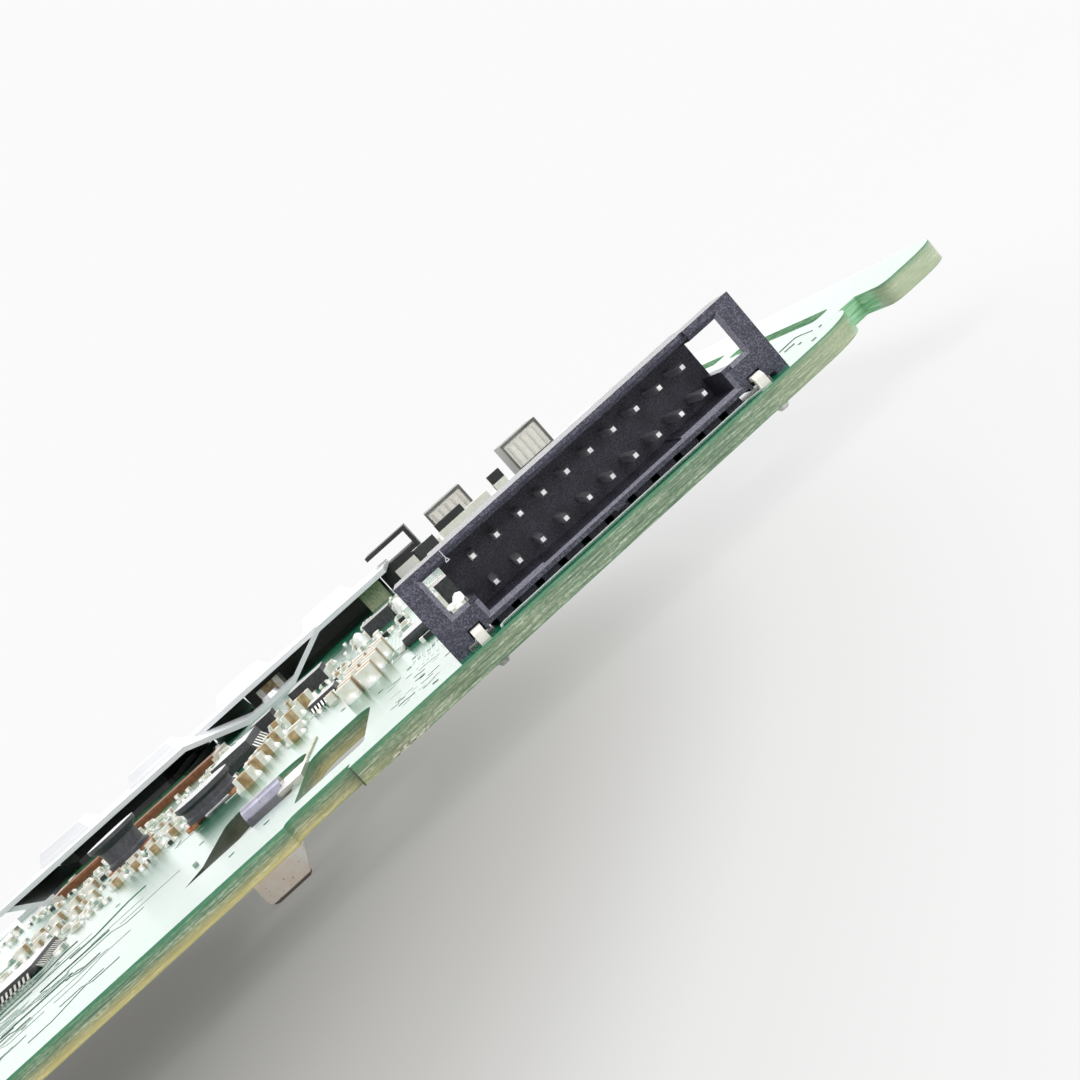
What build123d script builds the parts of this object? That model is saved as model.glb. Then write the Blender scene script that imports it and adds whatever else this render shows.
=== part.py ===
"""Television main board: a circuit board with its power header, heat spreader and components.

Units are millimetres. +Z points up from the component side. The origin is the centre of
the four mounting holes, on the underside of the board. The near edge, with the power
header, faces -Y, and the signal sockets stand at the far edge.
"""
import os
from math import atan2, cos, degrees, radians, sin, tan

from build123d import *

os.makedirs("parts", exist_ok=True)

# ---- circuit board ---------------------------------------------------------------------
board_t = 1.5
hole_span_x, hole_span_y = 126.0, 104.0     # mounting hole centres
mount_hole_r = 1.75
near_margin, far_margin = 14.0, 22.0        # hole centre to board edge
left_margin, right_margin = 10.0, 8.0
corner_r = 4.0
board_l = near_margin + hole_span_y + far_margin

# break-off rail left on the right edge, joined by short bridges between milled slots
rail_w = 5.2
rail_slot_w = 1.5
rail_overhang = 0.4                         # how far the rail stands past both edges
rail_notch = 4.0                            # open slot at each end
rail_bridge = 4.2
rail_slots = 5
rail_end_r, rail_inner_r = 2.8, 0.9

# recess milled in the near edge, and two windows behind it
recess_x, recess_w, recess_d, recess_r = -25.8, 5.2, 1.15, 0.9
recess_past = 1.0                           # the cutter runs out past the edge
window_x, window_inset = -25.2, 4.3
window_w, window_l = 6.0, 13.2
window_far_r, window_near_r = 1.8, 0.5
clip_cut_x, clip_cut_inset = -33.5, 10.0
clip_cut_w, clip_cut_l, clip_cut_r = 8.6, 13.5, 2.4
clip_cut_horn = 1.1                         # pointed relief at its near corner

# plated pads round the mounting holes
pad_r, pad_inner_r, plating_t, pad_sides = 3.3, 1.95, 0.05, 24

# ---- power header: two rows of pins in a shroud with open ends --------------------------
header_inset = 19.8                         # right edge of the board to the header's middle
header_front = 1.65                         # near edge of the board to the shroud's face
header_w, header_h = 28.2, 6.08
pin_pitch, pins_per_row = 2.0, 10
pin_low_z, pin_row_gap = 2.1, 2.2
pin_side = 0.5
pin_tip_side, pin_tip_l = 0.3, 0.4
pin_recess = 0.85                           # shroud face to pin tip
pin_tail = 1.1                              # length below the board
pin_bend = 0.4
leg_gap = 1.05                              # rear of the shroud to the first row of legs
lead_hole_r = 0.45

cavity_w, cavity_depth = 21.1, 4.9
cavity_floor, cavity_ceiling = 1.1, 5.48
rear_wall = 1.1
pin_block_w = 22.4
lead_in = 0.3                               # chamfer round the mouth
floor_clear = 0.5                           # daylight under the shroud's floor
key_w, key_d, key_shift = 11.8, 0.11, -0.1  # shallow keyway in the floor
sill_z, sill_drop = 2.48, 0.55              # top of the low end walls, and its fall to the rear
cap_depth = 4.2                             # depth of the two end caps
cap_lift = 0.28                             # end caps stand on feet
cap_foot_w = 0.9
post_w, post_depth, post_taper = 1.65, 1.45, 0.4
arm_z, arm_l = 5.27, 3.8                    # underside and length of the upper arms
notch_x, notch_w, notch_h = 10.05, 0.36, 0.34   # witness notch where the right arm begins
skirt_setback, skirt_t, skirt_gap = 0.9, 0.5, 0.62
gate_w, gate_h, gate_t = 0.78, 0.18, 0.5

tab_x, tab_w, tab_t = 11.95, 0.78, 0.3      # tinned retention tabs
tab_front, tab_z, tab_l = 1.0, 0.98, 2.6
tab_tail = 0.3
tab_clear = 0.14                            # round the tab in its slot in the shroud
tab_hole_w, tab_hole_l = 0.5, 1.0
joint_r, joint_tip_r, joint_h, joint_sides = 0.75, 0.36, 0.8, 8
tab_joint_r, tab_joint_tip_r, tab_joint_h = 0.6, 0.3, 0.42

# ---- ground clip ------------------------------------------------------------------------
clip_t = 0.8
clip_x, clip_leg_w, clip_top, clip_hem_r = -32.2, 3.6, 0.95, 0.85
clip_setback = 4.0                          # near edge of its cut-out to the leg
clip_ear_l, clip_ear_t, clip_ear_depth, clip_ear_set = 2.2, 0.35, 4.6, 1.2
clip_foot_w, clip_foot_drop, clip_foot_r = 4.7, 4.5, 0.8
clip_foot_cut, clip_foot_cut_h = 1.1, 2.1   # sloping corner of the foot
clip_jog, clip_jog_z = 2.7, -2.3            # the foot is offset sideways below the board

# ---- heat spreader ----------------------------------------------------------------------
sheet_t = 0.8
deck_z = 4.25                               # top of the deck above the board
deck_far = board_l - 7.0                    # the deck keeps this far from the far edge
deck_l, strip_l = 20.0, 7.0                 # deck, and the near strip in front of it
deck_front = deck_far - deck_l
deck_near = deck_front - strip_l
deck_left, deck_right = -98.0, -20.0
foot_left, foot_right = -51.3, -42.0        # flat of the near foot
slope_left, slope_right = 9.7, 8.0          # run of its two slopes
side_foot_y, side_foot_l, side_foot_run, side_foot_flat = deck_far - 5.0, 7.0, 3.6, 4.2
far_foot_x, far_foot_w, far_foot_run, far_foot_flat = -60.0, 9.0, 2.4, 4.0
lance_x, lance_y, lance_w, lance_run = -97.6, deck_far - 16.5, 18.0, 5.2
lance_flat = 1.6
boss_x, boss_y, boss_w, boss_l = -62.2, deck_far - 7.0, 10.5, 7.0
boss_h, boss_draft = 2.0, 30.0
boss_pitch, boss_count = 19.4, 4
flange_relief, flange_right = 0.5, -23.2    # the far side is folded down to the board
rivet_r, rivet_head_r, rivet_crown_r, rivet_head_h, rivet_sides = 1.2, 1.9, 1.3, 0.7, 16

# ---- packages ---------------------------------------------------------------------------
lead_t = 0.15
lead_span = 0.95                            # body side to lead tip
lead_foot = 0.5
lead_share = 0.46                           # lead width as a share of the pitch
package_lift = 0.1
package_draft = 8.0
processor_x, processor_y = -76.5, deck_far - 13.5
processor_w, processor_base_t = 25.0, 0.9
processor_cap_w, processor_cap_t = 20.0, 0.9
pad_w = 18.0                                # thermal pad on the processor
side_pad_x, side_pad_y, side_pad_w, side_pad_l = -24.4, deck_far - 19.5, 3.6, 6.5
controller_x, controller_y = -67.2, 40.3
controller_w, controller_h, controller_pitch, controller_lead_count = 7.0, 0.9, 0.5, 12
interface_x, interface_y = -29.25, 44.6
interface_w, interface_l, interface_h = 3.4, 3.2, 0.95
interface_pitch, interface_lead_count = 0.4, 8
supply_x, supply_y = -16.9, 31.6
supply_w, supply_l, supply_h, supply_pitch, supply_lead_count = 3.0, 4.9, 0.9, 0.65, 7
flash_x, flash_y = -42.6, 57.4
flash_w, flash_l, flash_h, flash_pitch, flash_lead_count = 5.2, 8.0, 2.0, 1.27, 6

# inductors wound on drum cores: place, radius of the top, neck and foot, height
drums = [(-42.9, 40.3, 3.15, 2.8, 3.0, 2.35), (-61.2, 64.1, 3.2, 2.4, 2.7, 3.85)]
drum_flange, drum_base_t, drum_sides = 0.45, 0.35, 32
drum_terminal_w, drum_terminal_reach = 1.3, 0.25
# moulded inductors: place, width, length, height
moulded = [(-40.25, 66.6, 3.0, 3.2, 1.9), (-33.6, 68.4, 5.0, 5.2, 1.8), (-22.4, 70.4, 4.2, 4.4, 1.7),
           (-12.1, 35.0, 2.6, 3.4, 2.2), (-2.0, 58.0, 4.2, 4.4, 1.7), (9.0, 44.0, 3.0, 3.2, 1.9),
           (-13.0, deck_far - 20.8, 4.3, 4.4, 2.9)]
moulded_chamfer, moulded_terminal_t, moulded_terminal_share = 0.35, 0.5, 0.6

# rows of chips: first place, step, count, length, width, height, and whether turned along Y
end_share = 0.24
capacitor_rows = [
    (-37.4, 34.0, 0.45, 4.3, 4, 2.0, 1.25, 1.25, False),
    (-32.1, 35.8, 0.0, 0.0, 1, 1.6, 0.85, 0.9, False),
    (-34.0, 50.2, 0.9, 6.2, 2, 2.0, 1.25, 1.45, False),
    (-24.4, 28.6, 0.5, 4.9, 3, 3.2, 1.6, 1.6, True),
    (-22.2, 28.2, 0.5, 4.9, 3, 3.2, 1.6, 1.6, True),
    (-27.9, 39.4, 2.2, 0.2, 2, 1.6, 0.9, 0.85, True),
    (-47.7, deck_far - 13.6, 0.0, 0.0, 1, 4.5, 3.2, 2.5, False),
    (-59.4, 53.2, 2.3, 0.25, 5, 1.6, 0.85, 0.85, True),
    (-57.6, 48.0, 2.6, -0.3, 4, 1.6, 0.85, 0.8, False),
    (-70.6, 53.8, 2.4, 0.3, 4, 1.6, 0.85, 0.85, True),
    (-49.6, 72.5, 2.9, 0.3, 5, 1.6, 0.85, 0.8, False),
    (-76.5, 62.0, 2.4, 0.5, 5, 2.0, 1.25, 1.0, True),
    (-7.0, 30.0, 3.4, 0.4, 5, 1.6, 0.85, 0.8, False),
    (-6.0, 74.0, 3.2, 0.0, 4, 1.6, 0.85, 0.6, True),
]
resistor_rows = [
    (-16.0, 24.4, 2.3, 0.1, 5, 1.6, 0.8, 0.45, False),
    (-51.8, 56.2, 0.6, 2.6, 4, 1.6, 0.8, 0.45, True),
    (-28.8, 53.6, 2.4, 0.5, 5, 1.6, 0.8, 0.45, False),
]

# ---- connectors -------------------------------------------------------------------------
socket_places = [-5.7, 12.1]
socket_depth, socket_overhang = 14.0, 0.6
socket_w, socket_h, socket_wall = 8.1, 5.7, 0.45
socket_floor, socket_core_gap, socket_back = 0.9, 0.3, 3.0
socket_contact_w, socket_contact_t, socket_contact_count = 0.4, 0.25, 5
jack_x, jack_w, jack_h, jack_wall = -18.1, 9.0, 6.8, 0.75
jack_base_h = 3.3
jack_plug_x, jack_plug_w, jack_plug_h, jack_plug_t = -17.5, 5.2, 1.7, 0.5
cable_x, cable_y = -69.0, deck_near - 11.5
cable_w, cable_l, cable_h = 31.0, 5.0, 1.05
cable_wall, cable_slot_l, cable_slot_z, cable_flap_t = 1.2, 3.0, 0.7, 0.35
cable_pitch, cable_contact_w, cable_tail_l, cable_contact_count = 1.0, 0.35, 1.1, 28
# low connectors: place, size of the body, and place, width, depth and height of the bar
latch_connectors = [(-4.7, deck_far - 17.8, 10.4, 4.5, 2.2, -7.0, 5.6, 2.0, 1.3),
                    (3.7, deck_far - 10.4, 2.6, 3.2, 1.7, 3.7, 2.6, 2.0, 1.7)]

# ---- worked out from the sizes above ------------------------------------------------------
near_y = -hole_span_y / 2 - near_margin
far_y = hole_span_y / 2 + far_margin
left_x = -hole_span_x / 2 - left_margin
right_x = hole_span_x / 2 + right_margin
board_w = right_x - left_x
board_middle = ((left_x + right_x) / 2, (near_y + far_y) / 2)
rail_x = right_x + rail_slot_w
header_x = right_x - header_inset
cavity_rear = header_front + cavity_depth
shroud_rear = cavity_rear + rear_wall
low_leg_y = shroud_rear + leg_gap
high_leg_y = low_leg_y + pin_pitch
pin_high_z = pin_low_z + pin_row_gap
pin_rows = [(pin_low_z, low_leg_y), (pin_high_z, high_leg_y)]
pin_columns = [(i - (pins_per_row - 1) / 2) * pin_pitch for i in range(pins_per_row)]
clip_y = clip_cut_inset + clip_setback
processor_top = processor_base_t + processor_cap_t
sides = (-1, 1)
board_top = Plane.XY.offset(board_t)


def at(x, y):
    """Board position of a place given from the header's middle and the near edge."""
    return (header_x + x, near_y + y)


def front_plane(y):
    """Upright plane facing the near edge, at a depth from it; its own axes run along +X and +Z."""
    return Plane(origin=(header_x, near_y + y, board_t), x_dir=(1, 0, 0), z_dir=(0, -1, 0))


def side_plane(x):
    """Upright plane facing +X, at a place from the header; its own axes run along +Y and +Z."""
    return Plane(origin=(header_x + x, near_y, board_t), x_dir=(0, 1, 0), z_dir=(1, 0, 0))


def top_plane(z):
    """Level plane above the board top, with the header's middle and the near edge as zero."""
    return Plane(origin=(header_x, near_y, board_t + z), x_dir=(1, 0, 0), z_dir=(0, 0, 1))


def save(piece, name):
    """Label a finished piece and write its file."""
    piece.part.label = name
    export_step(piece.part, f"parts/{name}.step")


def extrude_outline(plane, points, length, mode=Mode.ADD):
    """Prism on a plane, from a straight-sided outline."""
    with BuildSketch(plane) as outline:
        Polygon(*points, align=None)
    extrude(outline.sketch, amount=length, dir=plane.z_dir, mode=mode)


def add_block(x, y, w, l, z0, z1, mode=Mode.ADD):
    """Block centred on a place of the board, between two heights above the board top."""
    with BuildSketch(top_plane(z0)) as base:
        with Locations((x, y)):
            Rectangle(w, l)
    extrude(base.sketch, amount=z1 - z0, mode=mode)


def add_frustum(x, y, sides_n, low_r, low_z, high_r, high_z):
    """Faceted round body between two radii at two heights above the board top."""
    with BuildSketch(top_plane(low_z)) as low:
        with Locations((x, y)):
            RegularPolygon(low_r, sides_n)
    with BuildSketch(top_plane(high_z)) as high:
        with Locations((x, y)):
            RegularPolygon(high_r, sides_n)
    loft([low.sketch.faces()[0], high.sketch.faces()[0]])


# ---- board ----------------------------------------------------------------------------------
leg_places = [(x, leg_y) for _, leg_y in pin_rows for x in pin_columns]
tab_places = [(side * tab_x, tab_front + tab_t / 2) for side in sides]
rivet_places = [
    ((foot_left + foot_right) / 2, (deck_near + deck_front) / 2),
    (deck_left - side_foot_run - side_foot_flat / 2, side_foot_y),
    (far_foot_x, deck_far + far_foot_run + far_foot_flat / 2),
]


def cut_windows():
    """The recess in the near edge, the plain window, and the cut-out for the ground clip."""
    with BuildSketch(top_plane(-board_t)) as recess:
        with Locations((recess_x, (recess_d - recess_past) / 2)):
            Rectangle(recess_w, recess_d + recess_past)
        fillet(recess.vertices().group_by(Axis.Y)[-1].sort_by(Axis.X)[0], recess_r)
    extrude(recess.sketch, amount=board_t, mode=Mode.SUBTRACT)
    with BuildSketch(top_plane(-board_t)) as window:
        with Locations((window_x, window_inset + window_l / 2)):
            Rectangle(window_w, window_l)
        fillet(window.vertices().group_by(Axis.Y)[-1], window_far_r)
        fillet(window.vertices().group_by(Axis.Y)[0], window_near_r)
    extrude(window.sketch, amount=board_t, mode=Mode.SUBTRACT)
    cut_left = clip_cut_x - clip_cut_w / 2
    with BuildSketch(top_plane(-board_t)) as clip_cut:
        with Locations((clip_cut_x, clip_cut_inset + clip_cut_l / 2)):
            Rectangle(clip_cut_w, clip_cut_l)
        fillet(clip_cut.vertices().group_by(Axis.Y)[-1], clip_cut_r)
        Polygon((cut_left, clip_cut_inset), (cut_left - clip_cut_horn, clip_cut_inset),
                (cut_left, clip_cut_inset + 2 * clip_cut_horn), align=None)
    extrude(clip_cut.sketch, amount=board_t, mode=Mode.SUBTRACT)


def cut_holes():
    """Mounting holes, and the holes for leads, tabs and rivets."""
    with BuildSketch() as mounting:
        with GridLocations(hole_span_x, hole_span_y, 2, 2):
            Circle(mount_hole_r)
    extrude(mounting.sketch, amount=board_t, mode=Mode.SUBTRACT)
    with BuildSketch(top_plane(-board_t)) as drilled:
        with Locations(*leg_places):
            RegularPolygon(lead_hole_r, joint_sides)
        with Locations(*tab_places):
            SlotOverall(tab_hole_l, tab_hole_w)
        with Locations(*rivet_places):
            RegularPolygon(rivet_r, rivet_sides)
    extrude(drilled.sketch, amount=board_t, mode=Mode.SUBTRACT)


with BuildPart() as board:
    with BuildSketch() as panel:
        with Locations(board_middle):
            Rectangle(board_w, board_l)
        fillet(panel.vertices(), corner_r)
    extrude(amount=board_t)
    with BuildSketch() as rail:
        with Locations((rail_x + rail_w / 2, board_middle[1])):
            Rectangle(rail_w, board_l + 2 * rail_overhang)
        fillet(rail.vertices().group_by(Axis.X)[-1], rail_end_r)
        fillet(rail.vertices().group_by(Axis.X)[0], rail_inner_r)
    extrude(amount=board_t)
    web_l = board_l - 2 * rail_notch
    slot_l = (web_l - (rail_slots + 1) * rail_bridge) / rail_slots
    with BuildSketch():
        with Locations((right_x + rail_slot_w / 2, board_middle[1])):
            Rectangle(rail_slot_w, web_l)
            with GridLocations(1, slot_l + rail_bridge, 1, rail_slots):
                SlotOverall(slot_l, rail_slot_w, rotation=90, mode=Mode.SUBTRACT)
    extrude(amount=board_t)
    cut_windows()
    cut_holes()
save(board, "board")

with BuildPart() as mounting_pads:
    for z in (-plating_t, board_t):
        with BuildSketch(Plane.XY.offset(z)):
            with GridLocations(hole_span_x, hole_span_y, 2, 2):
                RegularPolygon(pad_r, pad_sides)
                RegularPolygon(pad_inner_r, pad_sides, mode=Mode.SUBTRACT)
        extrude(amount=plating_t)
save(mounting_pads, "mounting_pads")


# ---- power header -----------------------------------------------------------------------------
def add_pin(x, z, leg_y):
    """Square pin: level through the shroud, bent down through the board, with a tapered tip."""
    shank_y = header_front + pin_recess + pin_tip_l
    half = pin_side / 2
    tip, inner = (pin_side - pin_tip_side) / 2, pin_bend / 2
    extrude_outline(side_plane(x - half),
                    [(shank_y, z - half), (shank_y, z + half), (leg_y + half - pin_bend, z + half),
                     (leg_y + half, z + half - pin_bend), (leg_y + half, -board_t - pin_tail),
                     (leg_y - half, -board_t - pin_tail), (leg_y - half, z - half - inner),
                     (leg_y - half - inner, z - half)], pin_side)
    with BuildSketch(front_plane(shank_y)) as section:
        with Locations((x, z)):
            Rectangle(pin_side, pin_side)
    extrude(section.sketch, amount=pin_tip_l, taper=degrees(atan2(tip, pin_tip_l)))


with BuildPart() as header_lower_pins:
    for column in pin_columns:
        add_pin(column, pin_low_z, low_leg_y)
save(header_lower_pins, "header_lower_pins")

with BuildPart() as header_upper_pins:
    for column in pin_columns:
        add_pin(column, pin_high_z, high_leg_y)
save(header_upper_pins, "header_upper_pins")

with BuildPart() as header_tabs:
    for x, y in tab_places:
        front, rear = y - tab_t / 2, y + tab_t / 2
        extrude_outline(side_plane(x - tab_w / 2),
                        [(front, -board_t - tab_tail), (front, tab_z - tab_t), (rear, tab_z),
                         (y + tab_l, tab_z), (y + tab_l, tab_z - tab_t), (rear, tab_z - tab_t),
                         (rear, -board_t - tab_tail)], tab_w)
save(header_tabs, "header_tabs")


def cavity_section():
    """Side view of the shroud: top, rear wall and raised floor round the open cavity."""
    return [(header_front, floor_clear), (header_front, cavity_floor - lead_in),
            (header_front + lead_in, cavity_floor), (cavity_rear, cavity_floor),
            (cavity_rear, cavity_ceiling), (header_front + lead_in, cavity_ceiling),
            (header_front, cavity_ceiling + lead_in), (header_front, header_h),
            (shroud_rear, header_h), (shroud_rear, 0), (cavity_rear, 0), (cavity_rear, floor_clear)]


def end_block_section():
    """Side view of a lower end block, whose top falls away behind the chamfer."""
    return [(header_front, cap_lift), (header_front, sill_z - lead_in),
            (header_front + lead_in, sill_z), (header_front + cap_depth, sill_z - sill_drop),
            (header_front + cap_depth, cap_lift)]


def arm_section():
    """Side view of an upper arm, with its lead-in chamfer."""
    return [(header_front, arm_z + lead_in), (header_front + lead_in, arm_z),
            (header_front + cap_depth, arm_z), (header_front + cap_depth, header_h),
            (header_front, header_h)]


def add_shroud_end(side):
    """One open end: low cavity wall, lower block, upper arm, and the post that joins them."""
    half, mouth = header_w / 2, cavity_w / 2
    wall_end = pin_block_w / 2
    extrude_outline(top_plane(floor_clear),
                    [(side * (mouth + lead_in), header_front), (side * mouth, header_front + lead_in),
                     (side * mouth, cavity_rear), (side * wall_end, cavity_rear),
                     (side * wall_end, header_front)], sill_z - lead_in - floor_clear)
    extrude_outline(top_plane(floor_clear),
                    [(side * mouth, header_front + lead_in), (side * mouth, cavity_rear),
                     (side * wall_end, cavity_rear), (side * wall_end, header_front + lead_in)],
                    sill_z - floor_clear)
    block_from = min(side * wall_end, side * half)
    extrude_outline(side_plane(block_from), end_block_section(), half - wall_end)
    arm_from = min(side * (half - arm_l), side * half)
    extrude_outline(side_plane(arm_from), arm_section(), arm_l)
    post_front = half - post_w
    extrude_outline(top_plane(cap_lift),
                    [(side * half, header_front), (side * (post_front + lead_in), header_front),
                     (side * post_front, header_front + lead_in),
                     (side * (post_front + post_taper), header_front + post_depth),
                     (side * half, header_front + post_depth)], header_h - cap_lift)
    add_block(side * (half - cap_foot_w / 2), header_front + post_depth / 2,
              cap_foot_w, post_depth, 0, cap_lift)


def add_skirt():
    """Castellated rib that carries the raised floor, and the moulding gate in its middle."""
    rib_y = header_front + skirt_setback + skirt_t / 2
    with BuildSketch(top_plane(0)) as rib:
        with Locations((0, rib_y)):
            Rectangle(cavity_w, skirt_t)
            with GridLocations(pin_pitch, 1, pins_per_row, 1):
                Rectangle(skirt_gap, 2 * skirt_t, mode=Mode.SUBTRACT)
    extrude(rib.sketch, amount=floor_clear)
    add_block(0, header_front + gate_t / 2, gate_w, gate_t, floor_clear - gate_h, floor_clear)


def cut_shroud_details():
    """Keyway in the floor, witness notch in the lip, and the slots for the retention tabs."""
    add_block(key_shift, header_front + cavity_depth / 2, key_w, cavity_depth,
              cavity_floor - key_d, cavity_floor + key_d, Mode.SUBTRACT)
    add_block(notch_x, header_front, notch_w, 2 * notch_h, header_h - notch_h,
              header_h, Mode.SUBTRACT)
    slot_depth = post_depth / 2
    for side in sides:
        add_block(side * tab_x, header_front + slot_depth / 2, tab_w + 2 * tab_clear, slot_depth,
                  0, tab_z + tab_clear, Mode.SUBTRACT)


with BuildPart() as header_housing:
    extrude_outline(side_plane(-pin_block_w / 2), cavity_section(), pin_block_w)
    for end in sides:
        add_shroud_end(end)
    add_skirt()
    cut_shroud_details()
    for moulded_in in (header_lower_pins, header_upper_pins, header_tabs):
        add(moulded_in.part, mode=Mode.SUBTRACT)
save(header_housing, "header_housing")


with BuildPart() as solder_joints:
    for x, y in leg_places:
        add_frustum(x, y, joint_sides, joint_tip_r, -board_t - joint_h, joint_r, -board_t)
    for x, y in tab_places:
        add_frustum(x, y, joint_sides, tab_joint_tip_r, -board_t - tab_joint_h,
                    tab_joint_r, -board_t)
    for soldered in (header_lower_pins, header_upper_pins, header_tabs):
        add(soldered.part, mode=Mode.SUBTRACT)
save(solder_joints, "solder_joints")

# ---- ground clip ---------------------------------------------------------------------------------
with BuildPart() as ground_clip:
    leg_left, leg_right = clip_x - clip_leg_w / 2, clip_x + clip_leg_w / 2
    foot_right_x = leg_right - clip_jog + clip_jog / 3
    foot_left_x = foot_right_x - clip_foot_w
    foot_z = -board_t - clip_foot_drop
    with BuildSketch(front_plane(clip_y + clip_t)) as blank:
        Polygon((leg_left, clip_top - clip_hem_r), (leg_left, clip_jog_z + clip_jog / 3),
                (foot_left_x, clip_jog_z - clip_jog / 3), (foot_left_x, foot_z),
                (foot_right_x - clip_foot_cut, foot_z),
                (foot_right_x, foot_z + clip_foot_cut_h),
                (foot_right_x, clip_jog_z), (leg_right, clip_jog_z + clip_jog / 2),
                (leg_right, clip_top - clip_hem_r), align=None)
        fillet(blank.vertices().group_by(Axis.Y)[0].sort_by(Axis.X)[0], clip_foot_r)
    extrude(amount=clip_t)
    hem_z = clip_top - clip_hem_r
    with BuildSketch(side_plane(leg_left)):
        with Locations((clip_y + clip_hem_r, hem_z)):
            Circle(clip_hem_r)
            Circle(clip_hem_r - clip_t, mode=Mode.SUBTRACT)
            with Locations((0, -clip_hem_r)):
                Rectangle(2 * clip_hem_r, 2 * clip_hem_r, mode=Mode.SUBTRACT)
    extrude(amount=clip_leg_w)
    add_block(clip_x, clip_y + 2 * clip_hem_r - clip_t / 2, clip_leg_w, clip_t,
              -clip_hem_r, hem_z)
    add_block(leg_right + clip_ear_l / 2, clip_y - clip_ear_depth / 2 + clip_t + clip_ear_set,
              clip_ear_l, clip_ear_depth, 0, clip_ear_t)
save(ground_clip, "ground_clip")


# ---- heat spreader ------------------------------------------------------------------------------
def bend_shift(run):
    """How far the underside of a folded sheet shifts sideways at a bend of the given slope."""
    slope = atan2(deck_z - sheet_t, run)
    return sheet_t * tan(slope / 2)


def near_foot_section():
    """Front view of the near strip: deck, slope, foot on the board, slope, deck."""
    left, right = bend_shift(slope_left), bend_shift(slope_right)
    under = deck_z - sheet_t
    return [(deck_left, deck_z), (foot_left - slope_left, deck_z), (foot_left, sheet_t),
            (foot_right, sheet_t), (foot_right + slope_right, deck_z), (deck_right, deck_z),
            (deck_right, under), (foot_right + slope_right + right, under),
            (foot_right + right, 0), (foot_left - left, 0),
            (foot_left - slope_left - left, under), (deck_left, under)]


def tongue_section(start, run, flat, way):
    """Side view of a tongue that leads from the deck's edge down to a flat foot."""
    shift = bend_shift(run)
    foot = start + way * run
    end = foot + way * flat
    return [(start, deck_z), (foot, sheet_t), (end, sheet_t), (end, 0),
            (foot - way * shift, 0), (start - way * shift, deck_z - sheet_t)]


def add_boss(x):
    """Pad pressed up from the deck, hollow underneath."""
    draft = radians(boss_draft)
    inset = 2 * sheet_t * (1 - sin(draft)) / cos(draft)
    with BuildSketch(top_plane(deck_z)) as outside:
        with Locations((x, boss_y)):
            Rectangle(boss_w, boss_l)
    extrude(outside.sketch, amount=boss_h, taper=boss_draft)
    with BuildSketch(top_plane(deck_z - sheet_t)) as inside:
        with Locations((x, boss_y)):
            Rectangle(boss_w - inset, boss_l - inset)
    extrude(inside.sketch, amount=boss_h, taper=boss_draft, mode=Mode.SUBTRACT)


with BuildPart() as heat_spreader:
    extrude_outline(front_plane(deck_front), near_foot_section(), deck_front - deck_near)
    add_block((deck_left + deck_right) / 2, (deck_front + deck_far) / 2,
              deck_right - deck_left, deck_far - deck_front, deck_z - sheet_t, deck_z)
    extrude_outline(front_plane(side_foot_y + side_foot_l / 2),
                    tongue_section(deck_left, side_foot_run, side_foot_flat, -1), side_foot_l)
    extrude_outline(side_plane(far_foot_x - far_foot_w / 2),
                    tongue_section(deck_far, far_foot_run, far_foot_flat, 1), far_foot_w)
    extrude_outline(front_plane(lance_y + lance_w / 2),
                    tongue_section(lance_x, lance_run, lance_flat, 1), lance_w)
    for left, right in ((deck_left, far_foot_x - far_foot_w / 2 - flange_relief),
                        (far_foot_x + far_foot_w / 2 + flange_relief, flange_right)):
        add_block((left + right) / 2, deck_far - sheet_t / 2, right - left, sheet_t, 0, deck_z)
    for i in range(boss_count):
        add_boss(boss_x + (i - (boss_count - 1) / 2) * boss_pitch)
    with BuildSketch(top_plane(0)):
        with Locations(*rivet_places):
            RegularPolygon(rivet_r, rivet_sides)
    extrude(amount=sheet_t, mode=Mode.SUBTRACT)
save(heat_spreader, "heat_spreader")

with BuildPart() as spreader_rivets:
    for x, y in rivet_places:
        add_frustum(x, y, rivet_sides, rivet_r, -board_t, rivet_r, sheet_t)
        add_frustum(x, y, rivet_sides, rivet_head_r, sheet_t, rivet_crown_r,
                    sheet_t + rivet_head_h)
save(spreader_rivets, "spreader_rivets")

with BuildPart() as thermal_pads:
    add_block(processor_x, processor_y, pad_w, pad_w, processor_top, deck_z - sheet_t)
    add_block(side_pad_x, side_pad_y, side_pad_w, side_pad_l, 0, deck_z - sheet_t)
save(thermal_pads, "thermal_pads")

with BuildPart() as processor_substrate:
    add_block(processor_x, processor_y, processor_w, processor_w, 0, processor_base_t)
save(processor_substrate, "processor_substrate")

with BuildPart() as processor_cap:
    with BuildSketch(top_plane(processor_base_t)) as cap_base:
        with Locations((processor_x, processor_y)):
            Rectangle(processor_cap_w, processor_cap_w)
        chamfer(cap_base.vertices(), processor_cap_t)
    extrude(amount=processor_cap_t, taper=package_draft)
save(processor_cap, "processor_cap")


# ---- leaded packages --------------------------------------------------------------------------------
def add_package(x, y, w, l, h):
    """Moulded body: drafted above and below the band where the leads come out."""
    middle = (package_lift + h) / 2
    for way in sides:
        with BuildSketch(top_plane(middle + way * lead_t / 2)) as parting:
            with Locations((x, y)):
                Rectangle(w, l)
        extrude(parting.sketch, amount=way * (h - package_lift - lead_t) / 2, taper=package_draft)
    add_block(x, y, w, l, middle - lead_t / 2, middle + lead_t / 2)


def lead_section(reach, h):
    """Side view of a gull-wing lead, from the body's side out and down to the board."""
    middle = (package_lift + h) / 2
    heel = reach + lead_span - lead_foot
    return [(reach, middle + lead_t / 2), (heel + lead_t / 2, lead_t),
            (reach + lead_span, lead_t), (reach + lead_span, 0),
            (heel - lead_t / 2, 0), (reach, middle - lead_t / 2)]


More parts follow.
